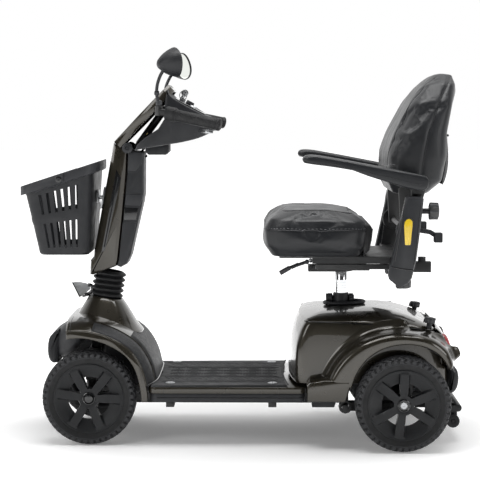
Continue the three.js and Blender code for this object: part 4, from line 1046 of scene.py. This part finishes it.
# Black panels on the rear half: their outlines in XZ, how far they stand out, and their finish.
REAR_PANELS = [
    ([(-345, 862), (-346, 806), (-322, 804), (-303, 828), (-302, 858)], 2.5, "black_plastic"),
    ([(-347, 799), (-349, 740), (-304, 737), (-304, 822), (-320, 800)], 1.2, "grained_plastic"),
    ([(-352, 733), (-356, 702), (-310, 700), (-303, 722), (-303, 733)], 5.0, "black_plastic"),
    ([(-358, 694), (-360, 656), (-322, 656), (-314, 692)], 4.0, "gloss_black"),
    ([(-363, 648), (-374, 540), (-376, 524), (-352, 528), (-345, 548), (-321, 650)], 2.5, "black_plastic"),
]


def make_tiller():
    front = Shape().prism(TILLER_FRONT, -62, 62, rounding=11)
    place("tiller_front_cover", front, "tiller", "olive_gloss", ["tiller_front_shell"], sharp=24)
    rear = Shape().prism(TILLER_REAR, -57, 57, rounding=8)
    place("tiller_rear_cover", rear, "tiller", "black_plastic", ["tiller_rear_shell"], sharp=24)
    for index, (outline, stand, finish) in enumerate(REAR_PANELS):
        panel = Shape()
        for _, side in SIDES:
            panel.prism(outline, side * 50, side * (56 + stand), rounding=2.2)
        place(f"tiller_rear_panel_{index + 1}", panel, "tiller", finish, sharp=28)
    recess, strips = Shape(), Shape()
    for _, side in SIDES:
        recess.prism([(-381, 809), (-366, 784), (-417, 564), (-428, 558)], side * 55, side * 62.6,
                     rounding=0.8)
        strips.tube([(-376, side * 62.8, 786), (-419, side * 62.8, 574)], 2.0, 8)
        strips.tube([(-301, side * 52, 850), (-302, side * 52, 736)], 2.2, 8)
        strips.tube([(-304, side * 52, 716), (-317, side * 52, 660), (-343, side * 52, 546)], 2.2, 8)
    place("tiller_side_recess", recess, "tiller", "gloss_black")
    place("tiller_trim_strips", strips, "tiller", "grained_plastic")
    crease = Shape().tube([(-392, 0, 872), (-422, 0, 716), (-454, 0, 548)], 3.2, 10)
    place("tiller_front_crease", crease, "tiller", "olive_gloss")


def make_dash():
    # The outline runs down the rider's face of the hood, back under it, and up behind the head panel.
    outline = spline([(-222, 1050), (-214, 1032), (-196, 1018), (-158, 996), (-101, 968)], 4)
    outline += [(-88, 948), (-84, 928)]
    outline += spline([(-96, 920), (-130, 905), (-178, 893), (-220, 886), (-280, 876), (-318, 869)], 3)
    outline += [(-314, 884), (-290, 906), (-250, 932), (-231, 962), (-230, 1010)]
    hood = Shape().prism(outline, -130, 130, rounding=6)
    place("dash_hood", hood, "tiller", "black_plastic", ["dash_housing"], sharp=28)
    panel = Shape()
    face = [(-200, 1021), (-158, 998), (-112, 974)]
    panel.sheet([[(x, y, z + 1.2 + (2.5 if abs(y) < 60 else 1)) for x, z in face]
                 for y in (-100, -96, -60, 0, 60, 96, 100)])
    place("dash_face", panel, "tiller", "gloss_black", thickness=3)
    tray = Shape().prism([(-294, 880), (-294, 862), (-284, 853), (-232, 853), (-223, 862), (-223, 884)],
                         -52, 52, rounding=5)
    tray.tube(spline([(-300, 0, 872), (-308, 0, 862), (-306, 0, 850), (-298, 0, 846), (-292, 0, 850)], 4),
              3.5, 10)
    place("dash_under_tray", tray, "tiller", "grained_plastic", sharp=32)
    lamps = Shape()
    for y in (-84, -68, 68, 84):
        lamps.lathe([(8, -1), (8, 3), (6.5, 4.4), (0.01, 4.8)], (-150, y, 996), (0.49, 0, 0.872), 24)
    place("dash_buttons", lamps, "tiller", "clear_lens")
    gauge = Shape().lathe([(24, -2), (24, 3), (21, 4.6), (20, 2.4), (0.01, 2.4)], (-140, 0, 988),
                          (0.49, 0, 0.872), 40)
    place("charge_gauge", gauge, "tiller", "gloss_black")
    caps = Shape()
    for _, side in SIDES:
        caps.lathe([(16, -4), (16, 3), (13, 5), (6, 5), (5, 3.4), (0.01, 3.4)], (-347, side * 66, 874),
                   (0, side, 0), 32)
    place("head_hinge_caps", caps, "tiller", "black_plastic")
    ring = [(-180 + 11 * cos(a), -22, 1032 + 13 * sin(a)) for a in turns(28, 1)]
    spare = Shape().tube(ring, 1.4, 8)
    spare.prism([(-190, 1018), (-184, 1006), (-178, 1006), (-172, 1018), (-181, 1026)], -24, -21,
                rounding=0.5)
    place("spare_key_on_ring", spare, "key", "zinc_steel")


# The right-hand half of the handlebar, which the grips follow.
BAR_CORNER, BAR_END = (-243, 190, 984), (-63, 262, 946)


def make_grips():
    for label, side in SIDES:
        start, end = (Vector((x, side * y, z)) for x, y, z in (BAR_CORNER, BAR_END))
        axis = (end - start).normalized()
        profile = [(12.5, 26), (20, 26), (21, 28), (21, 52), (19.5, 56), (17.2, 57)]
        for k in range(26):
            x = 60 + 5 * k
            profile += [(17.3, x), (17.3, x + 3.2), (16.5, x + 3.8), (16.5, x + 4.6)]
        profile += [(17.6, 191), (18.4, 193), (18.4, 196), (16, 198.4), (0.01, 198.8)]
        place(f"grip_sleeve_{label}", Shape().lathe(profile, start, axis, 36), "tiller", "soft_rubber",
              [f"grip_{label}"], sharp=50)


MIRROR_SHELL = [(0.01, -56), (7, -55.5), (13, -52), (22, -42), (30, -31), (37, -18), (41.5, -6), (43, -1),
                (43, 1),
                (41.8, 1.8), (40.6, 0.4), (40.6, -2.5)]
MIRROR_GLASS = [(41, -1.2), (39.8, -0.6), (28, -0.2), (14, 0.0), (0.01, 0.1)]


def make_mirrors():
    for label, side in SIDES:
        toe_in, rise = 0.45, 0.1197
        axis = Vector((cos(toe_in) * 0.9928, -side * sin(toe_in) * 0.9928, rise)).normalized()
        face = Vector((-192, side * 236, 1126))
        _, across, up = frame_about(axis)
        body = f"wing_mirror_{label}"

        def turned(profile):
            """A lathe widened by a fifth across and pulled a little to one corner."""
            return Shape().sheet([[face + axis * d
                                   + (across * cos(a) * 1.2 * (1 + 0.06 * sin(2 * a)) + up * sin(a)) * r
                                   for a in turns(56)] for r, d in profile], wrap_columns=True)

        place(f"mirror_shell_{label}", turned(MIRROR_SHELL), body, "black_plastic", [f"mirror_{label}"],
              sharp=40)
        place(f"mirror_glass_{label}", turned(MIRROR_GLASS), body, "mirror_glass", sharp=60)
        stem = spline([(x, side * y, z) for x, y, z in (
            (-243, 190, 1003), (-246, 193, 1016), (-249, 198, 1036), (-246, 210, 1062), (-236, 226, 1088),
            (-224, 236, 1106), (-214, 238, 1118))], 4)
        arm = Shape().tube(stem, 4.8, 12)
        arm.lathe([(9, 0), (9.5, 3), (9.5, 12), (7, 15), (5, 16)], (-243, side * 190, 1001), (0, 0, 1), 6)
        arm.lathe([(6.5, 0), (7.5, 2), (7.5, 10), (6, 12)], (-249, side * 198, 1032),
                  (0.1, side * 0.25, 1), 20)
        place(f"mirror_stem_{label}", arm, body, "black_plastic", sharp=40)


def make_cables():
    cables = Shape()
    for offset, y in ((0, -16), (5, 0), (-4, 14)):
        cables.tube(spline([(-332 + offset, y, 872), (-318, y * 1.3, 892), (-300 + offset, y * 1.6, 912),
                            (-282, y * 1.5, 930), (-262 + offset, y, 950), (-250, y, 968)], 5), 3.2, 8)
    place("dash_cables", cables, "tiller", "soft_rubber")
    tie = Shape().tube([(-292, -26, 918), (-288, 26, 922)], 4.2, 10)
    place("dash_cable_plug", tie, "tiller", "amber_reflector")


make_bellows()
make_tiller()
make_dash()
make_grips()
make_mirrors()
make_cables()

# ---- basket ---------------------------------------------------------------------------------
BASKET_FLOOR_Z = 557
SLOT_STARTS = [0.06 + k * 0.16 for k in range(6)]  # shares of a side's straight part
SLOT_SHARE = 0.058
FRONT_SHARES = (0, 0.11, 0.14, 0.36, 0.39, 0.61, 0.64, 0.86, 0.89, 1)


def basket_top(x, drop=0.0):
    return 832 - drop + 0.326 * (x + 440)


def basket_ring(share, pull):
    """A ring of the basket wall; share runs from the floor (0) to the rim (1), pull moves it inwards."""
    front, rear = -606 - 41 * share + pull, -457 + 15 * share - pull
    half, corner = 138 + 31 * share - pull, 24 + 6 * share
    length, width = rear - front - 2 * corner, 2 * half - 2 * corner
    along = [0.0] + [t for start in SLOT_STARTS for t in (start, start + SLOT_SHARE)] + [1.0]
    angles = [radians(a) for a in (18, 36, 54, 72)]
    near = [(front + corner + length * t, -half) for t in along]
    near += [(rear - corner + corner * sin(a), -half + corner * (1 - cos(a))) for a in angles]
    points = near + [(rear, -half + corner + width * k / 6) for k in range(7)] + mirrored(near)
    front_corner = [(front + corner - corner * sin(a), half - corner * (1 - cos(a))) for a in angles]
    points += front_corner + [(front, half - corner - width * t)
                              for t in FRONT_SHARES] + mirrored(front_corner)
    return [(x, y, BASKET_FLOOR_Z + (basket_top(x, 8) - BASKET_FLOOR_Z) * share) for x, y in points]


BASKET_LEVELS = [0.0, 0.03, 0.1, 0.43, 0.47, 0.52, 0.56, 0.84, 0.9, 1.0]
SLOT_LEVELS = (2, 6)
BAND_LEVELS = (4, 5)  # a raised band between the two rows of slots


def slot_columns():
    """The ring's cells that are slots: every other one on both sides and at the front."""
    side_points, corner_points, rear_points = 2 * len(SLOT_STARTS) + 2, 4, 7
    near = {1 + 2 * k for k in range(len(SLOT_STARTS))}
    far_first = side_points + corner_points + rear_points + corner_points
    front_first = far_first + side_points + corner_points
    return near | {far_first + side_points - 2 - c for c in near} | {front_first + c for c in (1, 3, 5, 7)}


def make_basket():
    outer, inner = [], []
    for index, share in enumerate(BASKET_LEVELS):
        outer.append(basket_ring(share, -1.2 if index in BAND_LEVELS else 0 if index else 4))
        inner.append([(x, y, z + (0 if index else 4)) for x, y,
                      z in basket_ring(share, 4.0 if index else 7)])
    slots = slot_columns()

    def is_open(row, column):
        return row in SLOT_LEVELS and column in slots

    walls = Shape().plate(outer, inner, is_open, wrap_columns=True)
    floor = basket_ring(0, 5)
    walls.loft([[(x, y, 558) for x, y, _ in floor], [(x, y, 562) for x, y, _ in floor]])
    place("basket_tub", walls, "front_basket", "black_plastic", ["basket"], bevel=1.0)

    def collar_ring(pull, drop):
        return [(x, y, basket_top(x, drop)) for x, y,
                _ in oval_ring(-651 + pull, -425 - pull, 175 - pull, 0, 0, power=0.42, count=64)]

    collar = Shape().loft([collar_ring(3, 31), collar_ring(0, 28), collar_ring(0, 3), collar_ring(1, 0.6),
                           collar_ring(4, 0), collar_ring(10, 1),
                           collar_ring(12, 4), collar_ring(12, 12)], caps=False)
    place("basket_rim_collar", collar, "front_basket", "black_plastic", thickness=2.0, sharp=40)
    pivots = Shape()
    for _, side in SIDES:
        pivots.lathe([(12, -3), (12, 3), (9, 4.6), (4, 4.6), (3, 3.4), (0.01, 3.4)],
                     (-541, side * 176, 785), (0, side, 0), 28)
    place("basket_handle_pivots", pivots, "front_basket", "gloss_black")


make_basket()

# ---- seat -----------------------------------------------------------------------------------
VOXEL = 0.005
PRESSURE = 4.0
CLOTH_FRAMES = 20
# Rounded rectangles up each pad: (front x, rear x, half width, z, corner radius).
CUSHION_RINGS = [(86, 350, 212, 559, 40), (66, 368, 234, 590, 50), (58, 378, 240, 642, 56),
                 (74, 372, 228, 672, 60), (118, 340, 190, 684, 60)]
BACK_RINGS = [(440, 548, 200, 744, 30), (420, 588, 230, 780, 40), (426, 602, 234, 852, 44),
              (451, 603, 228, 920, 40),
              (500, 622, 202, 1014, 34), (540, 636, 160, 1066, 30), (584, 634, 104, 1098, 20)]


def box_ring(x0, x1, half, z, corner):
    """A rounded rectangle with the same number of points whatever its size, so rings can be joined."""
    per_corner, per_side = 5, 7
    corner = min(corner, (x1 - x0) / 2 - 1, half - 1)
    points = []
    centres = [(x1 - corner, -half + corner, -90), (x1 - corner, half - corner, 0),
               (x0 + corner, half - corner, 90), (x0 + corner, -half + corner, 180)]
    for index, (cx, cy, first) in enumerate(centres):
        for k in range(per_corner):
            a = radians(first + 90 * k / (per_corner - 1))
            points.append((cx + corner * cos(a), cy + corner * sin(a), z))
        here = points[-1]
        nx, ny, angle = centres[(index + 1) % 4]
        there = (nx + corner * cos(radians(angle)), ny + corner * sin(radians(angle)), z)
        points += [tuple(here[i] + (there[i] - here[i]) * k / per_side for i in range(3))
                   for k in range(1, per_side)]
    return points


def puff(shape, name, pinned, cap):
    """Inflates a foam block like upholstery, by voxel remesh and pressure cloth; the cap limits each move."""
    mesh = bpy.data.meshes.new(name + "_sim")
    mesh.from_pydata([tuple(c * MM for c in p) for p in shape.points], [], shape.faces)
    mesh.update()
    block = bpy.data.objects.new(name + "_sim", mesh)
    bpy.context.scene.collection.objects.link(block)
    remesh = block.modifiers.new("remesh", "REMESH")
    remesh.mode, remesh.voxel_size = "VOXEL", VOXEL * 1.0
    smooth = block.modifiers.new("smooth", "SMOOTH")
    smooth.factor, smooth.iterations = 0.6, 8
    graph = bpy.context.evaluated_depsgraph_get()
    dense = bpy.data.meshes.new_from_object(block.evaluated_get(graph))
    block.modifiers.clear()
    block.data = dense
    start = [v.co.copy() for v in dense.vertices]
    group = block.vertex_groups.new(name="pins")
    for index, co in enumerate(start):
        if pinned(co.x / MM, co.z / MM):
            group.add([index], 1.0, "REPLACE")
    cloth = block.modifiers.new("cloth", "CLOTH").settings
    cloth.quality, cloth.mass = 5, 0.3
    cloth.tension_stiffness = cloth.compression_stiffness = 25
    cloth.shear_stiffness, cloth.bending_stiffness = 12, 1.0
    cloth.use_pressure, cloth.uniform_pressure_force = True, PRESSURE
    cloth.effector_weights.gravity = 0
    cloth.vertex_group_mass = "pins"
    block.modifiers["cloth"].point_cache.frame_end = CLOTH_FRAMES
    for frame_number in range(1, CLOTH_FRAMES + 1):
        bpy.context.scene.frame_set(frame_number)
    graph = bpy.context.evaluated_depsgraph_get()
    done = bpy.data.meshes.new_from_object(block.evaluated_get(graph))
    moved = []
    for before, vertex in zip(start, done.vertices):
        step = vertex.co - before
        if step.length > cap:
            step *= cap / step.length
        moved.append(before + step)
    bpy.context.scene.frame_set(1)
    result = Shape()
    result.points = [tuple(c / MM for c in co) for co in moved]
    result.faces = [list(polygon.vertices) for polygon in dense.polygons]
    bpy.data.objects.remove(block)
    return result


def groove(shape, lines, depth, width):
    """Presses sewn seams into a padded shape: each line is a list of points on its surface."""
    seams = [[Vector(p) for p in line] for line in lines]
    centre = Vector([sum(values) for values in zip(*shape.points)]) / len(shape.points)
    result = []
    for point in shape.points:
        here, best = Vector(point), 1e9
        for line in seams:
            for a, b in zip(line, line[1:]):
                span = b - a
                t = max(0.0, min(1.0, (here - a).dot(span) / max(span.length_squared, 1e-9)))
                best = min(best, (here - a - span * t).length)
        if best < width * 2.5:
            inward = centre - here
            here = here + inward.normalized() * depth * exp(-(best / width) ** 2)
        result.append(tuple(here))
    shape.points = result


def snap(shape, points, stand=0.0):
    """Lays points onto the shape's surface, standing off it by that much."""
    tree = BVHTree.FromPolygons([Vector(p) for p in shape.points], shape.faces)
    laid = []
    for p in points:
        hit, normal, _, _ = tree.find_nearest(Vector(p))
        laid.append(tuple(hit + normal * stand))
    return laid


def lay_seam(surface, path, name, body, double=0.0):
    """A welt along a path on a padded surface, with a row of stitches beside it."""
    dense = []
    for a, b in zip(path, path[1:]):
        steps = max(1, int((Vector(b) - Vector(a)).length / 5))
        dense += [tuple(Vector(a).lerp(Vector(b), k / steps)) for k in range(steps)]
    dense.append(path[-1])
    welt = Shape().tube(snap(surface, dense, 0.2), 1.5, 6)
    place(f"{name}_welt", welt, body, "vinyl")
    if double:
        thread = Shape()
        shifted = snap(surface, [(x, y, z + double) for x, y, z in dense], 0.4)
        for a, b in zip(shifted[0::2], shifted[1::2]):
            thread.tube([a, b], 0.55, 5)
        place(f"{name}_stitches", thread, body, "grey_thread")


def make_cushion():
    rings = [box_ring(x0 + 3, x1 - 3, half - 3, z, corner) for x0, x1, half, z, corner in CUSHION_RINGS]
    top = CUSHION_RINGS[-1]
    rings.append(box_ring(top[0] + 45, top[1] - 60, top[2] - 60, 687, 50))
    block = Shape().loft(rings)

    pad = puff(block, "cushion", lambda x, z: z < 572, cap=0.009)
    # The top falls away towards the rear edge.
    pad.points = [(x, y, z - 12 * max(0.0, (x - 250) / 120) * max(0.0, (z - 600) / 85)) for x, y,
                  z in pad.points]
    outline = box_ring(58, 378, 240, 641, 56)
    outline.append(outline[0])
    panel = box_ring(120, 330, 168, 690, 40)
    panel.append(panel[0])
    groove(pad, [outline], 3.2, 4.5)
    groove(pad, [snap(pad, panel)], 3.0, 6.0)
    piece = place("seat_cushion_padded", pad, "seat", "vinyl", ["seat_cushion"],
                  levels=1, sharp=180)
    lay_seam(pad, outline, "cushion_side_seam", "seat", double=6)
    lay_seam(pad, panel, "cushion_top_seam", "seat")
    boot = Shape().prism([(360, 655), (376, 652), (384, 640), (381, 610), (374, 578), (356, 562),
                          (346, 640)], -206, 206, rounding=9)
    place("cushion_rear_boot", boot, "seat", "soft_rubber", sharp=30)


def make_backrest():
    block = Shape().loft([box_ring(x0 + 4, x1 - 4, half - 4, z, corner) for x0, x1, half, z,
                          corner in BACK_RINGS])

    pad = puff(block, "backrest", lambda x, z: z < 752 or (x > 596 and z < 1000), cap=0.008)
    seam = snap(pad, [(440, y, 823) for y in range(-224, 225, 14)])
    # Each line is drawn for Y > 0, at (x, y, z) near the surface.
    upper_line = [(461, 160, 824), (470, 158, 880), (488, 152, 950), (514, 143, 1010), (545, 128, 1052),
                  (573, 104, 1077)]
    lower_line = [(430, 160, 760), (432, 160, 800), (440, 160, 823)]
    edge_line = [((x0 + x1) / 2 + 14, half - 2, z) for x0, x1, half, z, _ in BACK_RINGS[1:]]
    sides, lower, edges = ([snap(pad, [(x, side * y, z) for x, y, z in line]) for _, side in SIDES]
                           for line in (upper_line, lower_line, edge_line))
    groove(pad, [seam] + sides + edges, 3.2, 5.0)
    piece = place("backrest_padded", pad, "seat_back", "vinyl", ["backrest"],
                  levels=1, sharp=180)
    lay_seam(pad, seam, "backrest_cross_seam", "seat_back", double=7)
    for kind, lines in (("panel", sides), ("edge", edges), ("low", lower)):
        for (label, _), line in zip(SIDES, lines):
            lay_seam(pad, line, f"backrest_{kind}_seam_{label}", "seat_back")
    rows = []
    for t, z in ((0.0, 768), (0.15, 772), (0.4, 810), (0.65, 858), (0.85, 896), (1.0, 914)):
        bulge = 13 * sin(pi * min(1.0, t * 1.15)) ** 0.8 + 5
        row = []
        for k in range(17):
            s = k / 16 * 2 - 1
            base = snap(pad, [(640, s * 176, z)])[0]
            row.append((base[0] + bulge * (1 - s ** 6) + 1.5, s * 176, z))
        rows.append(row)
    pocket = Shape().sheet(rows)
    place("backrest_map_pocket", pocket, "seat_back", "mesh_cloth", thickness=2.4, levels=1, sharp=180)
    hem = Shape().tube([(x + 1.5, y, z) for x, y, z in rows[-1]], 3.4, 8)
    strap = [(x + 6, 0, z) for x, z in ((rows[-1][8][0], 918), (rows[-2][8][0], 890),
                                        (rows[-3][8][0], 856))]
    for shift in (-9, 9):
        hem.tube([(x, y + shift, z) for x, y, z in strap], 2.2, 6)
    place("map_pocket_hem", hem, "seat_back", "vinyl")
    brackets = Shape()
    outline = [(464, 630), (496, 630), (540, 770), (490, 790), (456, 760)]
    for _, side in SIDES:
        brackets.prism(outline, side * 205, side * 215, rounding=2)
    brackets.tube([(480, -206, 640), (480, 206, 640)], 9, 16)
    place("backrest_brackets", brackets, "seat_back", "frame_steel", sharp=30)


ARM_TOP = [(178, 838), (173, 847), (177, 856), (190, 861), (232, 858), (380, 831), (505, 806), (526, 800),
           (533, 790)]
ARM_LOW = [(178, 838), (200, 834), (262, 826), (330, 814), (356, 802), (420, 782), (470, 765), (516, 759),
           (531, 768), (533, 790)]


def make_armrests():
    for label, side in SIDES:
        body = f"arm_{label}"
        count = 22
        top, low = spline(ARM_TOP, 6), spline(ARM_LOW, 6)

        def at(line, t):
            """The point a share t of the way through the line's points."""
            k = min(len(line) - 1.001, t * (len(line) - 1))
            a, b = line[int(k)], line[int(k) + 1]
            return (a[0] + (b[0] - a[0]) * (k - int(k)), a[1] + (b[1] - a[1]) * (k - int(k)))

        rings = []
        for k in range(count + 1):
            t = k / count
            (x1, z1), (x0, z0) = at(top, t), at(low, t)
            middle, half = 287, 29 * min(1.0, 0.35 + 4.5 * t, 0.35 + 4.5 * (1 - t))
            if (x0 + x1) / 2 > 474:  # the end beside the upright is narrower
                middle, half = 301, 15
            ring = []
            for a in turns(24):
                u, v = signed_power(cos(a), 0.45), signed_power(sin(a), 0.45)
                ring.append(((x1 + x0) / 2 + (x1 - x0) / 2 * v, side * (middle + half * u),
                             (z1 + z0) / 2 + (z1 - z0) / 2 * v))
            rings.append(ring)
        arm = Shape().loft(rings)
        piece = place(f"armrest_pad_{label}", arm, body, "vinyl", [f"armrest_{label}"], levels=1, sharp=180)
        seam = Shape()
        edge = [(x, side * 315.4, z) for x, z in ((196, 838), (260, 831), (330, 818), (420, 797),
                                                  (500, 778), (520, 776))]
        fine = [Vector(a).lerp(Vector(b), k / 6) for a, b in zip(edge, edge[1:]) for k in range(6)]
        seam.tube(snap(arm, fine, 0.1), 1.3, 6)
        place(f"armrest_seam_{label}", seam, body, "vinyl")
        pin = Shape().lathe([(0.01, -16), (8, -16), (8, 15), (11, 15.4), (11, 20), (8, 21), (0.01, 21)],
                            (505, side * 270, 780), (0, side, 0), 24)
        pin.box(487, 523, *sorted((side * 262, side * 282)), 742, 772)
        place(f"armrest_hinge_{label}", pin, body, "frame_steel", bevel=1)


COVER = [(468, 739), (476, 744), (512, 742), (520, 736), (512, 660), (506, 606), (500, 560), (488, 508),
         (476, 492), (460, 484),
         (446, 486), (424, 504), (420, 516), (428, 552), (436, 590), (452, 664)]


def make_side_covers():
    for label, side in SIDES:
        cover = Shape().prism(COVER, side * 285, side * 317, rounding=7)
        place(f"seat_side_cover_{label}_shell", cover, "seat", "black_plastic", [f"side_cover_{label}"],
              sharp=30)
        lines = Shape()
        for radius, sides, path in ((1.8, 8, [(428, 317.2, 541), (462, 317.6, 535), (496, 317.2, 531)]),
                                    (1.2, 6, [(464, 317.2, 728), (452, 317.4, 640), (438, 317.2, 556)]),
                                    (1.2, 6, [(512, 317.2, 724), (504, 317.4, 640), (494, 317.2, 548)])):
            lines.tube([(x, side * y, z) for x, y, z in path], radius, sides)
        place(f"side_cover_creases_{label}", lines, "seat", "gloss_black")
        outline = [(464, 606), (461, 660), (463, 672), (469, 679), (477, 682), (485, 679), (490, 672),
                   (490, 660), (485, 606), (482, 602), (467, 602)]
        frame_plate = Shape().prism(outline, side * 315, side * 319.6, rounding=1.4)
        place(f"reflector_frame_{label}", frame_plate, "seat", "black_plastic")
        lens = Shape().prism(inset_outline(outline, 2.4), side * 317, side * 321.5, rounding=1.6)
        place(f"side_reflector_{label}", lens, "seat", "amber_reflector")
        knobs = Shape()
        for a in turns(8):
            knobs.tube([(x, side * 262 + r * cos(a), 698 + r * sin(a)) for x, r in ((541, 21), (566, 20))],
                       4.2, 8)
        knobs.lathe([(19, 540), (21, 543), (21, 562), (17, 568), (0.01, 570)], (0, side * 262, 698),
                    (1, 0, 0), 32)
        knobs.lathe([(8, 500), (8, 541), (19, 541)], (0, side * 262, 698), (1, 0, 0), 20)
        for a in turns(8):
            knobs.tube([(474 + 19 * cos(a), side * 200 + 19 * sin(a), z) for z in (470, 490)], 4.0, 8)
        knobs.lathe([(0.01, 466), (17, 467), (20, 470), (20, 490), (16, 493), (0.01, 494)],
                    (474, side * 200, 0), (0, 0, 1), 32)
        place(f"arm_width_knobs_{label}", knobs, "seat", "black_plastic", sharp=35)
        hinge = Shape().lathe([(33, 238), (34, 240), (34, 246), (30, 249), (12, 250), (11, 248),
                               (0.01, 248)], (480, 0, 640), (0, side, 0), 44)
        place(f"hinge_cover_{label}", hinge, "seat", "black_plastic", sharp=30)
        block = Shape().box(560, 584, *sorted((side * 204, side * 236)), 604, 632)
        block.tube([(500, side * 220, 642), (548, side * 220, 634), (572, side * 220, 620)], 7, 12)
        place(f"hinge_release_{label}", block, "seat", "grained_plastic", bevel=2.5)


def make_column():
    post = Shape().lathe([(17.9, 332), (18.7, 333), (18.7, 470), (0.01, 470)], (301, 0, 0), (0, 0, 1), 48)
    place("chrome_post_sleeve", post, "seat_column", "chrome_steel", sharp=30)
    rings = Shape()
    for z in (438, 446, 454, 462):
        rings.lathe([(18.2, z - 0.5), (19.0, z), (18.2, z + 0.5)], (301, 0, 0), (0, 0, 1), 48)
    place("seat_post_marks", rings, "seat_column", "gloss_black")
    tube = Shape().lathe([(24, 386), (24, 426), (22.6, 430), (19.6, 430.6), (19.6, 424)], (301, 0, 0),
                         (0, 0, 1), 40)
    for x, reach in ((262, 1), (338, -1)):
        for a in turns(7):
            tube.tube([(end, 11 * cos(a), 414 + 11 * sin(a)) for end in (x, x + reach * 12)], 3.4, 8)
        tube.lathe([(0.01, -3), (9, -3), (11, 0), (11, 12), (7, 15), (6, 30)], (x, 0, 414), (reach, 0, 0),
                   28)
    place("seat_tube_collar", tube, "chassis", "black_plastic", sharp=32)


make_cushion()
make_backrest()
make_armrests()
make_side_covers()
make_column()
